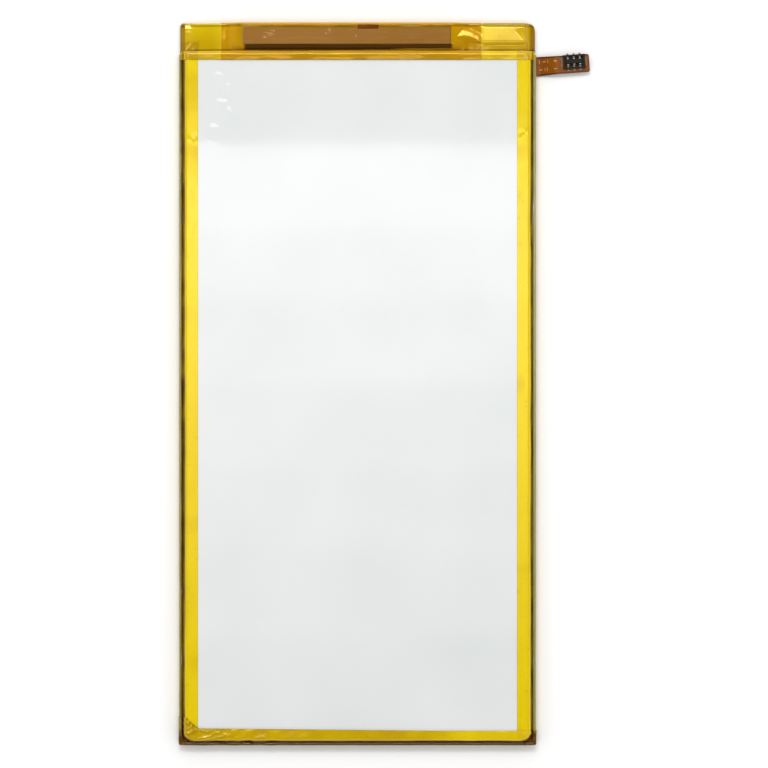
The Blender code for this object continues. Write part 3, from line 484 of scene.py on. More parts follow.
def make_side_tape(name, side, seed, dents):
    y = np.arange(SIDE_LOW[1], SIDE_HIGH[1] + SIDE_STEP / 2, SIDE_STEP)
    y[-1] = SIDE_HIGH[1]
    lap_end = SEAM_SIDE + TAPE_PITCH - UNDER_LAP
    path = edge_profile(SIDE_TAPE_EDGE, lap_end, CUP_SIDE, CUP_SIDE + GROOVE, SEAM_SIDE, outer(0))
    line = profile_grid(path, FINE_STEP, COARSE_STEP)
    normals = path_normals(line)
    ys, xs = np.meshgrid(y, line[:, 0], indexing="ij")
    _, zs = np.meshgrid(y, line[:, 1], indexing="ij")
    _, lengths = np.meshgrid(y, path_length(line), indexing="ij")
    flat = 1 - smooth(xs, SIDE_TAPE_EDGE + 1.8, CUP_SIDE - 0.4)
    above = smooth(zs, SEAM_TOP - 0.4, SEAM_TOP)
    move = grain(ys, lengths * 2, 9, seed) * 0.012
    move += grain(ys, lengths, 4, seed + 1) * 0.03 * (1 - flat)
    move += grain(ys, lengths * 3, 1.6, seed + 2) * 0.014 * (1 - flat)
    move += crumple(ys, lengths * 2.5, 2.2, seed + 3) * 0.012 * (1 - flat) * above
    move += creases(ys, side * xs, dents)
    shape = np.stack([side * (xs + normals[:, 0] * move), ys, zs + normals[:, 1] * move], 2)
    # Painted shade in the groove beside the cup; a dark line at the cut edge, partly painted shadow and
    # partly dirt; a pale painted sheen on the seam's ledge, weaker lower down; and, over the rounded
    # edge, more of the second colour as painted shade, besides random patches of it
    sway = grain(ys, lengths, 7, seed + 5) * 0.07
    low, high = DARK_BAND[side]
    groove = window(xs + sway, low, high, 0.16) * (zs > SEAM_TOP - VALLEY_DEPTH - 0.1)
    edge = 1 - smooth(lengths, 0.03, 0.14)
    painted_shade_and_edges = np.clip(groove * (0.85 + 0.15 * grain(ys, lengths, 3, seed + 6)) + edge * 0.4, 0, 1)
    ledge = smooth(xs, high - 0.05, high + 0.1) * smooth(zs, UNDER, UNDER + 0.3)
    ledge *= 0.35 + 0.65 * smooth(zs, SEAM_TOP - 1.4, SEAM_TOP - 0.3)
    tone = 0.25 * (1 - flat) + 0.3 * smooth(grain(ys, lengths, 5, seed + 4), 0.2, 1.0)
    # Turned at the right side, so that it faces out
    values = {"tone": tone[::-side], "painted_shade_and_edges": painted_shade_and_edges[::-side], "ledge": ledge[::-side]}
    new_film(name, shape[::-side], "yellow_tape", values)


# Creases as (start, end, width, height), with places as (y, x)
LEFT_DENTS = [
    ((52.4, -35.6), (53.4, -34.9), 0.25, -0.10),
    ((51.9, -35.2), (52.7, -34.6), 0.2, 0.08),
    ((52.9, -36.3), (52.3, -35.4), 0.2, 0.06),
]
RIGHT_DENTS = [
    ((53.9, 34.8), (54.0, 36.4), 0.22, -0.09),
    ((53.3, 35.2), (54.6, 36.9), 0.2, 0.07),
]
make_side_tape("left_side_tape", -1, 11, LEFT_DENTS)
make_side_tape("right_side_tape", 1, 31, RIGHT_DENTS)


# Bottom tape, wrapped round both corners

BOTTOM_STEP = 0.2
BOTTOM_POINTS = 76
CORNER_PARTS = 8
LAP_PARTS = 9
LAP_START = 0.02
# The pit in each corner, painted in shade past an ellipse: the ellipse's half sizes along x and y
PIT = (4.0, 1.9)
# The cup corner's axis, and how far the seam's walls lie from it
PIVOT_X, PIVOT_Y = CUP_SIDE - CUP_CORNER, CUP_BOTTOM - CUP_CORNER
TO_SIDE, TO_END = SEAM_SIDE - PIVOT_X, SEAM_BOTTOM - PIVOT_Y
# The lap on the face: how far it rides up in the left corner and how far it slants there
CORNER_LIFT = 2.4
LAP_SLANT = 0.35
BOTTOM_RELIEF = (-0.05, 0.15)
LAP_CREASE = ((-37.6, -72.6), (-33.8, -74.2), 0.2, 0.14)


def corner_reach(angle):
    """From the cup corner's axis to the seam's wall, at an angle turned from the end to the side."""
    way = np.array((math.sin(angle), math.cos(angle)))
    centre = np.array((TO_SIDE - SEAM_CORNER, TO_END - SEAM_CORNER))
    along = way.dot(centre)
    reach = along + math.sqrt(max(along**2 - centre.dot(centre) + SEAM_CORNER**2, 0))
    hit = way * reach
    if hit[0] > centre[0] and hit[1] > centre[1]:
        return reach
    return TO_SIDE / way[0] if hit[1] <= centre[1] else TO_END / way[1]


def bottom_section(origin, angle, reach, wall, lap_end):
    """The outside of the bottom tape in an upright plane from origin, turned by an angle."""
    inner_wall = (CUP_CORNER + GROOVE) / max(math.sin(angle), math.cos(angle))
    path = edge_profile(reach, lap_end, CUP_CORNER, inner_wall, wall, outer(1))
    line = profile_grid(path, FINE_STEP, COARSE_STEP)
    way = np.array((math.sin(angle), -math.cos(angle)))
    return np.concatenate([origin + way * line[:, :1], line[:, 1:]], 1)


def evenly(points, count):
    """The same section with a set number of points, spread by its length."""
    length = path_length(points)
    goal = np.linspace(0, length[-1], count)
    return np.stack([np.interp(goal, length, points[:, axis]) for axis in range(3)], 1)


def bottom_grid():
    """Sections from the left side, round the left corner, along the end and round the right corner."""
    turn_a = math.atan2(TO_SIDE - SEAM_CORNER, TO_END)
    turn_b = math.atan2(TO_SIDE, TO_END - SEAM_CORNER)
    stops = (0, turn_a, turn_b, math.pi / 2)
    turns = [turn for a, b in zip(stops, stops[1:]) for turn in np.linspace(a, b, CORNER_PARTS)[1:]]
    inner = PIVOT_Y - BOTTOM_TAPE_EDGE
    under = PIVOT_Y - (SEAM_BOTTOM + 2 * TAPE_PITCH - UNDER_LAP)
    right = []
    for turn in turns:
        wall = corner_reach(turn)
        right.append(bottom_section((PIVOT_X, -PIVOT_Y), turn, LAP_START, wall, LAP_START))
    for step in np.linspace(0, 1, LAP_PARTS)[1:]:
        origin = (PIVOT_X, -PIVOT_Y + step * inner)
        right.append(bottom_section(origin, math.pi / 2, LAP_START, TO_SIDE, LAP_START))
    for points in right:
        points[0] = (PIVOT_X, -BOTTOM_TAPE_EDGE, points[0][2])
    left = [points * np.array((-1, 1, 1)) for points in reversed(right)]
    along = np.arange(-PIVOT_X, PIVOT_X + 1e-6, BOTTOM_STEP)
    middle = [bottom_section((x, -PIVOT_Y), 0, -inner, TO_END, -under) for x in along]
    return np.array([evenly(points, BOTTOM_POINTS) for points in left + middle + right])


def make_bottom_tape():
    lap = BOTTOM_TAPE_EDGE
    grid = bottom_grid()
    xs, ys, zs = grid[:, :, 0], grid[:, :, 1], grid[:, :, 2]
    face = smooth(zs, SEAM_TOP - 0.2, SEAM_TOP + 0.1)
    lifted = smooth(-xs, 33.9, 37.4) * smooth(ys, -PIVOT_Y, -lap)
    slant = np.clip(0.5 - xs / PIVOT_X, 0, 1.5) * smooth(ys, -lap - 1.0, -lap)
    ys += CORNER_LIFT * lifted + LAP_SLANT * slant
    wall = np.maximum(np.abs(xs) - PIVOT_X, 0), np.maximum(-ys - PIVOT_Y, 0)
    away = np.hypot(*wall)

    # Crumples and pleats
    inward = 1 - smooth(away, CUP_CORNER - SHOULDER - 0.1, CUP_CORNER - 0.2)
    left_patch = window(xs, -39, -30.5, 4.5) * face * (0.35 + 0.65 * inward)
    right_patch = window(xs, 36.4, 40, 0.8) * face
    left_half = 1 - smooth(xs, -24, -8)
    move = grain(xs, ys * 2, 7, 51) * 0.03 * face + grain(xs, ys, 2.2, 52) * 0.015 * face
    folds = pleats(xs + ys * 0.3, ys - xs * 0.35, 1.5, 53)
    move += (folds * 0.24 - 0.09) * left_patch
    move += crumple(xs, ys, 0.8, 54, 4) * 0.12 * right_patch
    move += crumple(xs * 0.7, ys * 1.2, 1.6, 55, 4) * (0.01 + 0.09 * left_half) * face
    move += creases(xs, ys, [LAP_CREASE]) * face
    move = np.clip(move, *BOTTOM_RELIEF)
    rim = smooth(np.arange(BOTTOM_POINTS), 0, 2)[None, :]
    shape = grid + grid_normals(grid) * (move * rim)[:, :, None]

    # Painted shade in the groove, the corners' pits (red-brown too), the wall below the seam and the
    # pleats' valleys; the cut edges' dark line, partly painted shadow and partly dirt; a pale painted
    # sheen on the ledge by the sides; and a deeper tone towards the left, at random and where the side
    # tapes lie under it
    length = np.array([path_length(points) for points in grid])
    edge = 1 - smooth(length, 0.03, 0.14)
    outer_wall = np.minimum(TO_SIDE - wall[0], TO_END - wall[1])
    sway = grain(xs, ys, 6, 57) * 0.05
    pit_x = np.maximum(np.abs(xs) - CUP_SIDE + PIT[0], 0) / PIT[0]
    pit_y = np.maximum(-ys - CUP_BOTTOM + PIT[1], 0) / PIT[1]
    groove = smooth(away + sway, CUP_CORNER - 0.3, CUP_CORNER - 0.08)
    groove = np.maximum(groove, smooth(np.hypot(pit_x, pit_y), 0.96, 1.04))
    along_side = smooth(ys, -PIVOT_Y - 0.9, -lap + 1.0) * (wall[0] > CUP_CORNER)
    ledge = along_side * (1 - smooth(outer_wall, 0.3, 0.5))
    overlap = smooth(np.abs(xs), SIDE_TAPE_EDGE - 0.02, SIDE_TAPE_EDGE + 0.02) * face
    upper = smooth(zs, 0.7, SEAM_TOP - VALLEY_DEPTH - 0.1)
    pit = smooth(np.minimum(*wall), 0.3, 1.0) * groove * upper
    darker = (1 - smooth(folds, 0.15, 0.5)) * left_patch * 0.35
    below = (1 - smooth(outer_wall, 0.0, 0.08)) * (0.7 + 0.2 * upper)
    painted_shade_and_edges = np.clip(np.maximum(groove * upper, below) + edge * 0.5 + darker, 0, 1)
    painted_shade_and_edges *= 1 - 0.75 * ledge
    slope = 0.7 * (1 - smooth(xs, 8, 26))
    tone = np.clip(0.2 + slope + overlap * 0.2 + 0.2 * grain(xs, ys, 3, 56), 0, 1)
    values = {"tone": tone, "painted_shade_and_edges": painted_shade_and_edges, "red_shade": pit * 0.3, "ledge": ledge * 0.8}
    new_film("bottom_tape", shape, "yellow_tape", values)


make_bottom_tape()


# Wraps over the terrace

TAPE_END = TOP_HIGH[0]
TAPE_CLEARANCE = 0.015
# Heights under the wrap: over the board, the flex's arm, the bare flange and the pinched ends
BOARD_PLATEAU = STRIP_LOW[2] - TAPE_CLEARANCE - 3 * TAPE_PITCH
FLEX_PLATEAU = FLEX_HIGH[2]
FLANGE_HEIGHT = 0.77
FLANGE_END = 37.3
PINCH = 0.41
PINCH_FALL = 0.9
SAG = FLANGE_HEIGHT + (BOARD_PLATEAU - FLANGE_HEIGHT) * 0.42
# The wrap stays level this far past the board, and slopes away from there on
BOARD_ENDS = (BOARD_LOW[0] - 0.3, BOARD_HIGH[0] + 0.3)
SLOPE_LEFT = 3.6
SLOPE_RIGHT = 4.2
# The trough between the cup and the board
TROUGH = (CUP_TOP + 0.05, CUP_TOP + 0.45)
TROUGH_HEIGHT = 1.8
PLATEAU_START = CUP_TOP + 1.45
TERRACE_FRONT = TOP_HIGH[1] - 2 * TAPE_PITCH
ROUND_OVER = 0.3
FRONT_CORNERS = (0.6, 1.5)
TERRACE_STEP = 0.22
# How many points of each line across the terrace lie on its upper side
UPPER_POINTS = 58
# The flex's raised arm, the strip's notch, and where a side tape's end lies under the wrap
TONGUE = (24.0, 36.15, 73.75, 77.0)
TONGUE_ROUND = 0.7
TONGUE_STEP = 0.32
NOTCH = (-0.1, 4.6, STRIP_HIGH[1] - 0.45, STRIP_HIGH[1] + 0.65)
TAPE_BELOW = (-37.2, -34.4, 70.0, 74.0)
# Places along the terrace and the heights there
TERRACE_STOPS = [
    (-TAPE_END, PINCH),
    (-FLANGE_END, FLANGE_HEIGHT),
    (BOARD_ENDS[0] - SLOPE_LEFT, SAG),
    (BOARD_ENDS[0], BOARD_PLATEAU),
    (BOARD_ENDS[1], BOARD_PLATEAU),
    (BOARD_ENDS[1] + SLOPE_RIGHT, FLEX_PLATEAU),
    (TONGUE[1], FLEX_PLATEAU),
    (TONGUE[1] + PINCH_FALL, PINCH),
    (TAPE_END, PINCH),
]


def terrace_height(x):
    for (left, low), (right, high) in zip(TERRACE_STOPS, TERRACE_STOPS[1:]):
        if x <= right:
            share = max(x - left, 0) / (right - left)
            return low + (high - low) * share * share * (3 - 2 * share)
    return PINCH


def moved_out(points, distance):
    """An open path moved to the left of its direction, with its corners kept sharp."""
    points = np.array(points, float)
    way = np.diff(points, axis=0)
    way /= np.maximum(np.linalg.norm(way, axis=1, keepdims=True), 1e-9)
    normals = np.stack([-way[:, 1], way[:, 0]], 1)
    before = np.concatenate([normals[:1], normals])
    after = np.concatenate([normals, normals[-1:]])
    middle = before + after
    middle /= np.linalg.norm(middle, axis=1, keepdims=True)
    return points + middle * (distance / (middle * before).sum(1))[:, None]


def terrace_line(x, surface, out):
    """The outside of a wrap over the terrace in the plane at x, from the face to the underside."""
    plateau = terrace_height(x)
    share = min((surface - plateau) / (FACE - plateau), 1.0)
    path = [(TOP_TAPE_EDGE, FACE)]
    path += arc((CUP_TOP - SHOULDER, FACE - SHOULDER), SHOULDER, 90, 0, 13)
    path = [(y, plateau + (z - plateau) * share) for y, z in path]
    foot = min(plateau, TROUGH_HEIGHT)
    path += [(TROUGH[0], foot), (TROUGH[1], foot), (PLATEAU_START, plateau)]
    corner = FRONT_CORNERS[int(x > 0)]
    past = max(abs(x) - (TAPE_END - corner), 0)
    front = TERRACE_FRONT - (corner - math.sqrt(max(corner**2 - past**2, 0)))
    over = min((plateau - UNDER) / 2, ROUND_OVER)
    path += arc((front - over, plateau - over), over, 90, 0, 7)
    low = UNDER - 0.1 - TAPE_CLEARANCE
    path += arc((front - over / 2, low + over / 2), over / 2, 0, -90, 4)
    path.append((TOP_TAPE_EDGE, low))
    moved = moved_out(path, out)
    parts = [5] + [1] * 12 + [4, 2, 5, 26] + [1] * 6 + [4] + [1] * 3 + [9]
    made = [moved[0]]
    for start, end, count in zip(moved, moved[1:], parts):
        made += [start + (end - start) * part / count for part in range(1, count + 1)]
    return np.array(made)


def outside_tongue(x, y):
    """How far a place lies outside the flex's raised arm."""
    low_x, high_x, low_y, high_y = TONGUE
    across = np.maximum(np.maximum(low_x + TONGUE_ROUND - x, x - high_x + TONGUE_ROUND), 0)
    along = np.maximum(np.maximum(low_y + TONGUE_ROUND - y, y - high_y + TONGUE_ROUND), 0)
    return np.maximum(np.hypot(across, along) - TONGUE_ROUND, 0)


# Creases as (start, end, width, height), with places as (x, y)
TERRACE_CREASES = [
    ((-35.5, 73.0), (-37.2, 70.5), 0.2, 0.12),
    ((-35.9, 73.4), (-37.6, 71.2), 0.16, -0.07),
    ((-37.3, 76.9), (-34.2, 76.5), 0.35, 0.06),
    ((-29.2, 76.5), (-25.6, 76.0), 0.35, 0.05),
    ((20.6, 73.6), (26.4, 73.75), 0.16, 0.05),
    ((23.2, 73.1), (25.7, 72.3), 0.2, 0.06),
    ((34.7, 72.6), (37.0, 70.4), 0.18, 0.09),
    ((35.9, 73.0), (37.4, 71.6), 0.14, -0.05),
    ((33.5, 77.1), (36.2, 75.4), 0.25, 0.05),
]
# The bubble in the tape over the positive tab's fold: its ends, its crest and its lower edge
BUBBLE_ENDS = (20.8, 26.2)
BUBBLE_TOP = (22.9, 75.1)
BUBBLE_CURVE = 0.11
BUBBLE_FOOT = 73.6
BUBBLE_REACH = 1.8
BUBBLE_HEIGHT = 0.34


def bubble(x, y):
    crest = BUBBLE_TOP[1] - BUBBLE_CURVE * (x - BUBBLE_TOP[0]) ** 2
    rising = np.clip((y - BUBBLE_FOOT) / np.maximum(crest - BUBBLE_FOOT, 0.3), 0, 1)
    falling = np.clip(1 - (y - crest) / BUBBLE_REACH, 0, 1)
    within = np.minimum(rising, falling)
    ramp = np.vectorize(terrace_height)(x)
    level = (terrace_height(BUBBLE_TOP[0]) - ramp) * 0.75
    raised = BUBBLE_HEIGHT * within + level * smooth(within, 0, 0.4)
    return np.maximum(raised, 0) * window(x, *BUBBLE_ENDS, 0.7)


# Where the tape falls towards the front at the left corner
CORNER_FALL = 75.8
CORNER_RIGHT = (-35.4, -33.0)
CORNER_SLOPE = 0.105
# The tape that stands off over the flex's arm: where it starts at the left, its front line, how far
# it reaches at the right there and back from there, and its slope
LOOSE_LEFT = (25.2, 28.0)
LOOSE_FRONT = 77.5
LOOSE_RIGHT = 33.4
LOOSE_DEPTH = 3.4
LOOSE_SLOPE = 0.095
# The loose tape between the strip and the left corner
LOOSE_AT_STRIP = (-29.4, -26.4)


def terrace_relief(x, y):
    """Creases, crumples and the raised arm of the flex, as heights above the plain wrap."""
    calm = window(x, STRIP_LOW[0] + 0.2, STRIP_HIGH[0] - 0.2, 0.5)
    calm = calm * window(y, STRIP_LOW[1] + 0.3, STRIP_HIGH[1] + 0.1, 0.3)
    terrace = smooth(y, CUP_TOP + 0.4, PLATEAU_START)
    shoulder = 1 - smooth(y, CUP_TOP - 0.7, CUP_TOP)
    loose = window(x, *LOOSE_AT_STRIP, 1.0)
    corner = (1 - smooth(x, *CORNER_RIGHT)) * np.maximum(y - CORNER_FALL, 0)
    corner *= 0.95 + 0.3 * grain(x, y, 1.3, 79)
    lifted = np.clip(LOOSE_FRONT - y, 0, LOOSE_DEPTH) * LOOSE_SLOPE * smooth(x, *LOOSE_LEFT)
    lifted *= smooth(LOOSE_RIGHT + LOOSE_FRONT - y - x, 0, 0.7)
    move = grain(x, y, 6, 71) * 0.03 + grain(x, y, 1.9, 72) * 0.008
    move += grain(x, y * 0.8, 1.6, 77) * 0.045 * loose * terrace
    move += grain(x * 0.3, y, 1.2, 74) * 0.05 * shoulder
    move += grain(x * 0.5, y, 0.8, 75) * 0.012 * shoulder
    move += creases(x, y, TERRACE_CREASES) + bubble(x, y) * terrace - corner * CORNER_SLOPE
    move += lifted * terrace
    beside = smooth(x, 26.0, 28.5) * terrace
    move -= smooth(outside_tongue(x, y), 0.0, 0.55) * TONGUE_STEP * beside
    return move * (1 - calm)


def terrace_grid(out, left, right):
    """Lines across the terrace from left to right, moved out to a tape layer."""
    columns = list(np.arange(left, right - TERRACE_STEP / 2, TERRACE_STEP)) + [right]
    edge = edge_profile(0, 30, CUP_SIDE, CUP_SIDE + GROOVE, SEAM_SIDE, out)
    edge = np.array([point for point in edge if point[1] > SEAM_TOP - VALLEY_DEPTH])
    edge = edge[: int(np.argmax(edge[:, 0])) + 1]
    lines = []
    for x in columns:
        surface = np.interp(abs(x), edge[:, 0], edge[:, 1]) - out
        line = terrace_line(x, surface, out)
        lines.append(np.concatenate([np.full((len(line), 1), x), line], 1))
    return np.array(lines)


def make_terrace_wrap(name, out, left, right, slot, sunk=0.0):
    """A wrap over the terrace, sunk where the amber tape lies on it."""
    grid = terrace_grid(out, left, right)
    xs, ys, zs = grid[:, :, 0], grid[:, :, 1], grid[:, :, 2]
    top = smooth(zs, 0.55, 0.9)
    above = np.arange(grid.shape[1])[None, :] < UPPER_POINTS
    away = np.array([path_length(line[:, 1:]) for line in grid])
    rim = smooth(away, 0.0, 0.5)
    move = terrace_relief(xs, ys) * top * above * (0.3 + 0.7 * rim)
    move -= sunk * window(xs, AMBER_LOW[0] + 0.6, AMBER_HIGH[0] - 0.6, 0.4)
    shape = grid + grid_normals(grid) * move[:, :, None]

    # Painted shade: dark lines in the trough and along the strip's top edge, the strip's shadow, a band
    # along the front, the ends by the cup and, red-brown, the strip's notch, where the tape's own colour
    # shows too; the cut edges' dark line, partly painted shadow and partly dirt; and the side tape's end
    # under the wrap, a little deeper in colour
    trough = np.exp(-((ys - CUP_TOP - 0.35) / 0.2) ** 2) * smooth(xs, -37.5, -36.5) * above
    cut = 1 - smooth(away, 0.03, 0.14)
    band = window(ys, STRIP_HIGH[1] + 0.25, TERRACE_FRONT - 0.25, 0.12) * above * 0.42
    under_strip = window(xs, STRIP_LOW[0] + 0.2, STRIP_HIGH[0], 0.5) * above
    line = np.exp(-((ys - STRIP_HIGH[1] - 0.1) / 0.12) ** 2) * under_strip
    taper = CUP_TOP + 0.42 + 0.4 * smooth(xs, -8, 20)
    shade = window(ys - taper, 0, STRIP_LOW[1] + 0.2 - taper, 0.16)
    shade *= window(xs, STRIP_LOW[0] + 0.8, STRIP_HIGH[0], 0.7) * above
    # Red-brown painted shade in the strip's notch, with the tape's own colour seen in it
    red_shade = patch(xs, ys, NOTCH, 0.06) * above
    side = np.abs(xs)
    ends = smooth(side, CUP_SIDE - 0.35, CUP_SIDE + 0.1) * smooth(ys, CUP_TOP - 0.5, CUP_TOP + 0.4)
    lapped = patch(xs, ys, TAPE_BELOW, 0.06) * 0.12
    painted_shade_and_edges = trough * 0.8 + cut * 0.5 + band + line * 0.6 + shade + ends * 0.3 + lapped
    painted_shade_and_edges = np.clip(painted_shade_and_edges * (1 - red_shade), 0, 1)

    # Deeper colour where layers overlap, at random, on the left of the yellow wrap and where it stands
    # off over the flex's arm; painted shade on the shoulder and beside the arm; a painted sheen on the
    # seam's ledge
    overlap = smooth(side, SIDE_TAPE_EDGE - 0.02, SIDE_TAPE_EDGE + 0.02) * (1 - smooth(ys, 73.6, 74.0))
    tone = 0.25 + 0.3 * grain(xs, ys, 3.5, 76) + 0.5 * overlap
    if slot == "yellow_tape":
        tone += 0.28 * smooth(ys, CUP_TOP, CUP_TOP + 0.6) * (xs < 0)
    beside = smooth(outside_tongue(xs, ys), 0.05, 0.5) * smooth(xs, 26.4, 27.6)
    tone += 0.5 * beside * smooth(ys, CUP_TOP, CUP_TOP + 0.4)
    tone += 0.45 * (1 - smooth(ys, CUP_TOP - 0.5, CUP_TOP + 0.2))
    tone += 0.45 * smooth(xs, *LOOSE_LEFT) * smooth(ys, CUP_TOP + 0.4, PLATEAU_START)
    tone = np.clip(tone, 0, 1)
    ledge = smooth(side, CUP_SIDE + 0.5, CUP_SIDE + 0.65) * (1 - smooth(ys, CUP_TOP, CUP_TOP + 0.3))
    values = {"tone": tone, "painted_shade_and_edges": painted_shade_and_edges, "ledge": ledge * 0.8, "red_shade": np.maximum(red_shade, ends * 0.45)}
    new_film(name, shape, slot, values)


make_terrace_wrap("top_tape", outer(1), -TAPE_END, TAPE_END, "yellow_tape", 0.03)
make_terrace_wrap("amber_tape", outer(2), AMBER_LOW[0], AMBER_HIGH[0], "amber_tape")


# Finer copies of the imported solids

def fine_copy(name, planes):
    """The solid's own mesh, cut by planes (axis, places in mm) so that its faces can be shaped."""
    bm = bmesh.new()
    bm.from_mesh(frame["nodes"][name].data)
    for axis, places in planes:
        normal = [0, 0, 0]
        normal[axis] = 1
        for place in places:
            point = [0, 0, 0]
            point[axis] = place * MM
            geometry = bm.verts[:] + bm.edges[:] + bm.faces[:]
            bmesh.ops.bisect_plane(bm, geom=geometry, plane_co=point, plane_no=normal, dist=1e-7)
    mesh = bpy.data.meshes.new(name)
    bm.to_mesh(mesh)
    bm.free()
    return mesh


def verts_mm(mesh):
    flat = np.empty(len(mesh.vertices) * 3)
    mesh.vertices.foreach_get("co", flat)
    return flat.reshape(-1, 3) / MM


def dressed_copy(name, mesh, shape, slot, values, sharp=40):
    """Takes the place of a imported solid: its mesh with its points moved, and values for each point."""
    mesh.vertices.foreach_set("co", (shape * MM).ravel())
    mesh.update()
    mesh.materials.clear()
    for key, value in values.items():
        layer = mesh.attributes.new(key, "FLOAT", "POINT")
        layer.data.foreach_set("value", np.asarray(value, np.float32))
    new_piece(name + "_dressed", mesh, slot, [name], sharp)


def steps(low, high, step):
    """Even places from low to high, about a step apart."""
    return np.linspace(low, high, max(2, int(round((high - low) / step)) + 1))


# The laminate is cut finely where its dents lie: left, right, low, high
DENT_AREA = (-33.5, -25.5, 53.0, 68.0)
POUCH_STEP = 1.6
DENT_STEP = 0.28
DENTS = [
    ((-30.9, 66.4), (-29.9, 66.9), 0.35, -0.024),
    ((-29.9, 66.9), (-28.5, 65.2), 0.35, -0.03),
    ((-27.8, 64.7), (-28.4, 63.2), 0.45, -0.03),
    ((-30.5, 60.8), (-27.9, 60.6), 0.35, -0.03),
    ((-30.7, 59.3), (-29.5, 60.0), 0.35, -0.018),
    ((-28.1, 59.5), (-27.2, 58.0), 0.35, -0.026),
    ((-31.2, 58.3), (-31.0, 58.2), 0.3, -0.02),
    ((-31.6, 55.3), (-30.3, 55.2), 0.35, -0.026),
    ((-32.4, 52.9), (-30.6, 52.3), 0.7, 0.02),
]
# A long shallow dent by the bottom tape: from x to x, its y, its half width and its depth
BOTTOM_DENT = (-26.4, -10.4, -74.0, 1.3, 0.03)


def make_pouch():
    planes = [
        (0, steps(-35.2, 35.2, POUCH_STEP)),
        (1, steps(-73.6, 69.8, POUCH_STEP)),
        (0, steps(*DENT_AREA[:2], DENT_STEP)),
        (1, steps(*DENT_AREA[2:], DENT_STEP)),
    ]
    mesh = fine_copy("pouch_cell", planes)
    shape = verts_mm(mesh)
    x, y, z = shape.T
    inside = (1 - smooth(np.abs(x), 33.6, 35.4)) * window(y, -71.5, 68.4, 1.2) * (z > FACE - 0.01)
    move = grain(x, y, 13, 91) * 0.006 + grain(x, y * 0.5, 34, 92) * 0.012
    move += creases(x, y, DENTS)
    low_x, high_x, dent_y, dent_width, depth = BOTTOM_DENT
    move -= depth * window(x, low_x, high_x, 3.0) * np.exp(-(((y - dent_y) / dent_width) ** 2))
    shape[:, 2] += move * inside
    dressed_copy("pouch_cell", mesh, shape, "pouch_laminate", {})


# The strip's lower edge bends down over this width, by this much
STRIP_BEND = 0.3
STRIP_DROP = 0.42
# Scuffed areas: left, right, low, high
SCUFFS = [
    (-20.3, -17.9, 74.1, 76.2),
    (-7.0, -5.9, 74.6, 76.6),
    (-0.5, -0.2, 74.7, 75.3),
]


def make_strip():
    across = steps(STRIP_LOW[1], STRIP_HIGH[1], 0.14)
    mesh = fine_copy("fibre_strip", [(0, steps(STRIP_LOW[0], STRIP_HIGH[0], 0.3)), (1, across)])
    shape = verts_mm(mesh)
    x, y, z = shape.T
    rim = np.minimum(x - STRIP_LOW[0], STRIP_HIGH[0] - x)
    rim = np.minimum(rim, np.minimum(y - STRIP_LOW[1], STRIP_HIGH[1] - y))
    upper = z > STRIP_HIGH[2] - 0.05
    bend = np.clip(1 - (y - STRIP_LOW[1]) / STRIP_BEND, 0, 1) ** 1.6
    move = grain(x, y, 4.5, 101) * 0.012 + grain(x, y, 0.8, 102) * 0.006
    move -= np.exp(-rim / 0.09) * 0.05 * upper
    shape[:, 2] += move * upper - bend * STRIP_DROP
    flecks = smooth(grain(x * 0.4, y * 1.8 + x * 0.3, 0.4, 137), 0.1, 0.7)
    scuff_and_glint = flecks * np.max([patch(x, y, area, 0.15) for area in SCUFFS], axis=0)
    # The bent-down lower edge and a thin rim are painted in shade and the left end in a painted glint;
    # the flecks in the scuffed areas are the strip's own marks
    edge = np.clip(bend * 1.3 + np.exp(-rim / 0.07) * 0.5 * (x > STRIP_LOW[0] + 0.9), 0, 1)
    painted_glint = np.exp(-((x - STRIP_LOW[0]) / 0.2) ** 2) * 0.2
    values = {"edge": edge * (1 - painted_glint), "scuff_and_glint": np.clip(scuff_and_glint * 0.45 + painted_glint, 0, 1)}
    dressed_copy("fibre_strip", mesh, shape, "fibre_paper", values, 50)


TAIL_ROOT = (CELL_HIGH[0] + 2 * TAPE_PITCH + 0.335, CUP_TOP - 3.1)
TAIL_ANGLE = math.radians(4.0)
TAIL_HALF = 1.95
TAIL_BORDER = 0.34
TAIL_STEP = 0.1
# The flex is cut finely from here on
TAIL_START = 38.4
# Plain printed bars on the tail: (middle along it, middle across it, half length, half height)
TAIL_MARKS = [
    (0.5, 0.95, 0.05, 0.34),
    (1.5, 0.95, 0.3, 0.05),
    (2.3, 0.95, 0.05, 0.34),
    (3.9, 0.95, 0.3, 0.05),
    (3.9, 0.95, 0.05, 0.3),
    (0.7, -0.75, 0.3, 0.05),
    (1.6, -0.75, 0.05, 0.34),
    (2.1, -0.75, 0.05, 0.34),
    (3.9, -0.75, 0.3, 0.05),
]


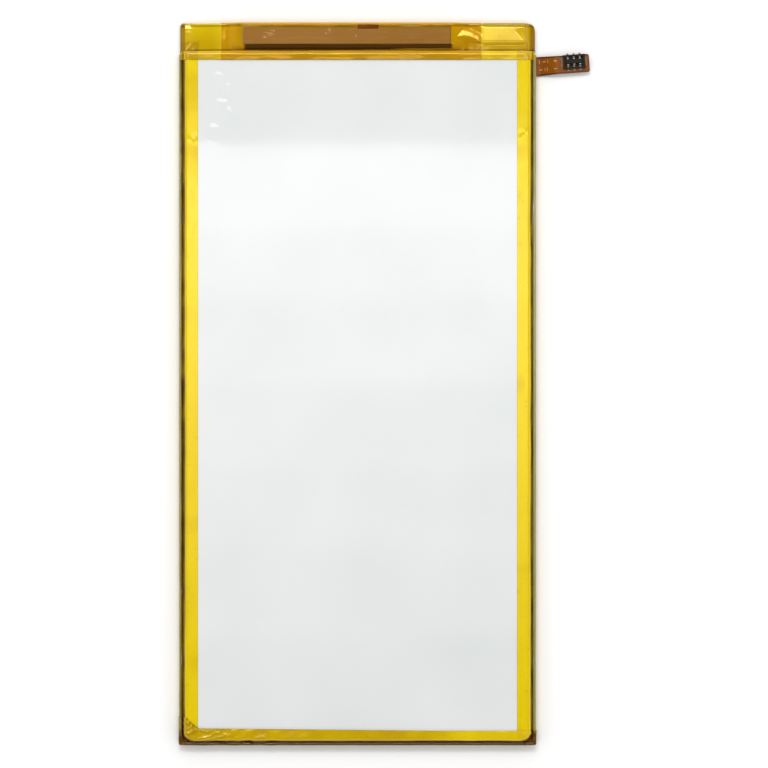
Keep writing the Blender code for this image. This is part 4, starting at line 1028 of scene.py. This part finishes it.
def make_flex():
    along = np.array((math.cos(TAIL_ANGLE), math.sin(TAIL_ANGLE)))
    side = np.array((-along[1], along[0]))
    mesh = fine_copy("flex_circuit", [])
    bm = bmesh.new()
    bm.from_mesh(mesh)

    def cut(distance, across, normal):
        x, y = np.array(TAIL_ROOT) + along * distance + side * across
        geometry = [v for v in bm.verts if v.co.x > TAIL_START * MM]
        for group in (bm.edges, bm.faces):
            geometry += [e for e in group if all(v.co.x > TAIL_START * MM for v in e.verts)]
        bmesh.ops.bisect_plane(
            bm, geom=geometry, plane_co=(x * MM, y * MM, 0), plane_no=(*normal, 0), dist=1e-7
        )

    for across in np.arange(-2.1, 2.11, TAIL_STEP):
        cut(0, across, side)
    for distance in np.arange(0.2, 11.6, TAIL_STEP):
        cut(distance, 0, along)
    bm.to_mesh(mesh)
    bm.free()
    shape = verts_mm(mesh)
    place = shape[:, :2] - np.array(TAIL_ROOT)
    distance, across = place @ along, place @ side
    tail = distance > 0.1
    length = distance.max()
    inner = TAIL_HALF - TAIL_BORDER
    border = smooth(np.abs(across), inner, inner + 0.12)
    border = np.maximum(border, smooth(distance, length - 0.22, length - 0.12))
    mark = np.zeros(len(shape))
    for middle, row, half_length, half_height in TAIL_MARKS:
        bar = (middle - half_length, middle + half_length, row - half_height, row + half_height)
        mark = np.maximum(mark, patch(distance, across, bar, 0.06))
    free = smooth(distance, 0.5, 2.0) * (distance < 5.0)
    shape[:, 2] += grain(distance, across, 3.0, 121) * 0.02 * free
    facing = np.empty(len(shape) * 3)
    mesh.vertices.foreach_get("normal", facing)
    values = {"border": border * tail, "mark": mark * tail * (facing[2::3] > 0.5)}
    dressed_copy("flex_circuit", mesh, shape, "flex_film", values)


CONNECTOR_MIDDLE = sum(box_mm("connector_housing")) / 2
# The flex's upper face, as a height over the stiffener's
FLEX_ON_STIFFENER = 0.11
SEAT = (*CONNECTOR_MIDDLE[:2], box_mm("connector_stiffener")[1][2] + FLEX_ON_STIFFENER)
CONTACT_PITCH = 1.3
CONTACT_REACH = 1.72
HOLD_DOWN_REACH = 2.68
MOUND_RINGS = 5
MOUND_PARTS = 16


def mound(name, centre, reach, height, finish):
    """A low rounded heap of solder on the flex, at a place in the connector's own frame."""
    places, faces = [], []
    for ring in range(MOUND_RINGS):
        share = 1 - ring / MOUND_RINGS
        lift = math.sqrt(1 - share**2)
        for part in range(MOUND_PARTS):
            angle = 2 * math.pi * part / MOUND_PARTS
            wave = 1 + 0.07 * math.sin(3 * angle + centre[0] * 5)
            x = reach[0] * share * wave * math.cos(angle)
            y = reach[1] * share * wave * math.sin(angle)
            places.append((x, y, height * lift))
    places.append((0, 0, height))
    for ring in range(MOUND_RINGS - 1):
        for part in range(MOUND_PARTS):
            after = (part + 1) % MOUND_PARTS
            low, high = ring * MOUND_PARTS, (ring + 1) * MOUND_PARTS
            faces.append((low + part, low + after, high + after, high + part))
    top, peak = (MOUND_RINGS - 1) * MOUND_PARTS, len(places) - 1
    faces += [(top + part, top + (part + 1) % MOUND_PARTS, peak) for part in range(MOUND_PARTS)]
    faces.append(tuple(reversed(range(MOUND_PARTS))))
    c, s = math.cos(TAIL_ANGLE), math.sin(TAIL_ANGLE)
    verts = []
    for x, y, z in places:
        x, y = x + centre[0], y + centre[1]
        place = (SEAT[0] + x * c - y * s, SEAT[1] + x * s + y * c, SEAT[2] + z)
        verts.append([number * MM for number in place])
    mesh = bpy.data.meshes.new(name)
    mesh.from_pydata(verts, [], faces)
    new_piece(name, mesh, "nickel", sharp=60, finish=finish)


def make_solder():
    contacts = [(column, side) for side in (1, -1) for column in (-1, 0, 1)]
    for number, (column, side) in enumerate(contacts, 1):
        place = (column * CONTACT_PITCH, side * CONTACT_REACH)
        mound(f"contact_solder_{number}", place, (0.27, 0.2), 0.15, "solder")
    for name, reach in (("left_hold_down", -HOLD_DOWN_REACH), ("right_hold_down", HOLD_DOWN_REACH)):
        mound(name + "_solder", (reach, 0), (0.16, 0.85), 0.1, "dull_plate")
        frame["nodes"][name].material_slots[0].material = FINISHES["dull_plate"]


make_solder()
make_pouch()
make_strip()
make_flex()


# Floor, light and camera

IMAGE = 768
PIXEL = 0.2155
VIEW_CENTRE = (5.71, -0.07)
CAMERA_HEIGHT = 650.0
SENSOR = 36.0
# The floor's side and gap under the pack, in metres
FLOOR_SIZE = 6
FLOOR_GAP = 0.00002
# The floor's shade where it is closed in: how near, how open from and to, how pale from and to
CONTACT_DISTANCE = 1.6
CONTACT_SHADE = (0.5, 1.0, 0.74, 0.98)
FLOOR_GLOW = 0.07
# The surround's levels, and between which heights of the sky it goes from one to the other
ZENITH = 0.08
HORIZON = 1.13
SKY_HEIGHTS = (0.5, 0.93)
# Watts for each square metre of an area lamp with a brightness of 1
LAMP_WATTS = 4
# Overhead lamps, one behind the other: from y, to y and brightness; lengths in metres from here on
OVERHEAD = [
    (0.085, 0.131, 2.9),
    (0.046, 0.085, 2.25),
    (0.0, 0.046, 1.65),
    (-0.045, 0.0, 1.1),
    (-0.09, -0.045, 0.7),
    (-0.14, -0.09, 0.4),
]
OVERHEAD_WIDTH = 0.5
OVERHEAD_HEIGHT = 1.0
# Lamps beyond the terrace end: place, size and brightness
REAR_LAMPS = {
    "rear": ((-0.02, 0.5, 0.77), (0.45, 0.45), 2.22),
    "rear_strip": ((-0.02, 0.43, 0.73), (0.4, 0.1), 9.0),
}


def make_floor():
    """A white floor, painted with contact shade near the pack, that glows faintly where seen or
    mirrored.
    """
    bpy.ops.mesh.primitive_plane_add(size=FLOOR_SIZE, location=(0, 0, 0))
    floor = bpy.context.object
    floor.name = "floor"
    floor.location.z = min(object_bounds()[0].z, 0) - FLOOR_GAP
    made = bpy.data.materials.new("floor")
    made.use_nodes = True
    tree = made.node_tree
    tree.nodes.clear()
    add, link = tree.nodes.new, tree.links.new
    output = add("ShaderNodeOutputMaterial")
    diffuse = add("ShaderNodeBsdfDiffuse")
    contact = add("ShaderNodeAmbientOcclusion")
    contact.inputs["Distance"].default_value = CONTACT_DISTANCE * MM
    tone = add("ShaderNodeMapRange")
    for socket, number in zip(tone.inputs[1:5], CONTACT_SHADE):
        socket.default_value = number
    link(contact.outputs["AO"], tone.inputs[0])
    link(tone.outputs[0], diffuse.inputs["Color"])
    glow = add("ShaderNodeEmission")
    both = add("ShaderNodeAddShader")
    path = add("ShaderNodeLightPath")
    seen = add("ShaderNodeMath")
    seen.operation = "MAXIMUM"
    link(path.outputs["Is Camera Ray"], seen.inputs[0])
    link(path.outputs["Is Glossy Ray"], seen.inputs[1])
    strength = add("ShaderNodeMath")
    strength.operation = "MULTIPLY"
    strength.inputs[1].default_value = FLOOR_GLOW
    link(seen.outputs[0], strength.inputs[0])
    link(strength.outputs[0], glow.inputs["Strength"])
    link(diffuse.outputs[0], both.inputs[0])
    link(glow.outputs[0], both.inputs[1])
    link(both.outputs[0], output.inputs["Surface"])
    floor.data.materials.append(made)


def make_light(name, place, aim, size, brightness):
    data = bpy.data.lights.new(name, "AREA")
    data.shape = "RECTANGLE"
    data.size, data.size_y = size
    data.energy = brightness * LAMP_WATTS * size[0] * size[1]
    made = bpy.data.objects.new(name, data)
    made.location = place
    made.rotation_euler = (Vector(aim) - Vector(place)).to_track_quat("-Z", "Y").to_euler()
    made.visible_camera = False
    bpy.context.scene.collection.objects.link(made)


def make_lights():
    for number, (low, high, brightness) in enumerate(OVERHEAD):
        y = (low + high) / 2
        size = (OVERHEAD_WIDTH, high - low)
        make_light(f"overhead_{number}", (0, y, OVERHEAD_HEIGHT), (0, y, 0), size, brightness)
    for name, (place, size, brightness) in REAR_LAMPS.items():
        make_light(name, place, (0, 0, 0), size, brightness)


def make_world():
    """An even pale surround that is darker straight overhead, where the camera would stand."""
    world = bpy.data.worlds.new("studio")
    bpy.context.scene.world = world
    world.use_nodes = True
    tree = world.node_tree
    background = tree.nodes["Background"]
    background.inputs["Color"].default_value = (1, 1, 1, 1)
    way = tree.nodes.new("ShaderNodeTexCoord")
    parts = tree.nodes.new("ShaderNodeSeparateXYZ")
    level = tree.nodes.new("ShaderNodeMapRange")
    level.interpolation_type = "SMOOTHSTEP"
    for socket, number in zip(level.inputs[1:5], (*SKY_HEIGHTS, HORIZON, ZENITH)):
        socket.default_value = number
    tree.links.new(way.outputs["Generated"], parts.inputs[0])
    tree.links.new(parts.outputs["Z"], level.inputs[0])
    tree.links.new(level.outputs[0], background.inputs["Strength"])


def make_camera():
    data = bpy.data.cameras.new("camera")
    data.sensor_width = SENSOR
    data.lens = SENSOR * (CAMERA_HEIGHT - FACE) / (IMAGE * PIXEL)
    data.clip_start = 0.01
    camera = bpy.data.objects.new("camera", data)
    camera.location = (VIEW_CENTRE[0] * MM, VIEW_CENTRE[1] * MM, CAMERA_HEIGHT * MM)
    bpy.context.scene.collection.objects.link(camera)
    bpy.context.scene.camera = camera


make_floor()
make_world()
make_lights()
make_camera()
bpy.context.scene.view_settings.view_transform = "Standard"
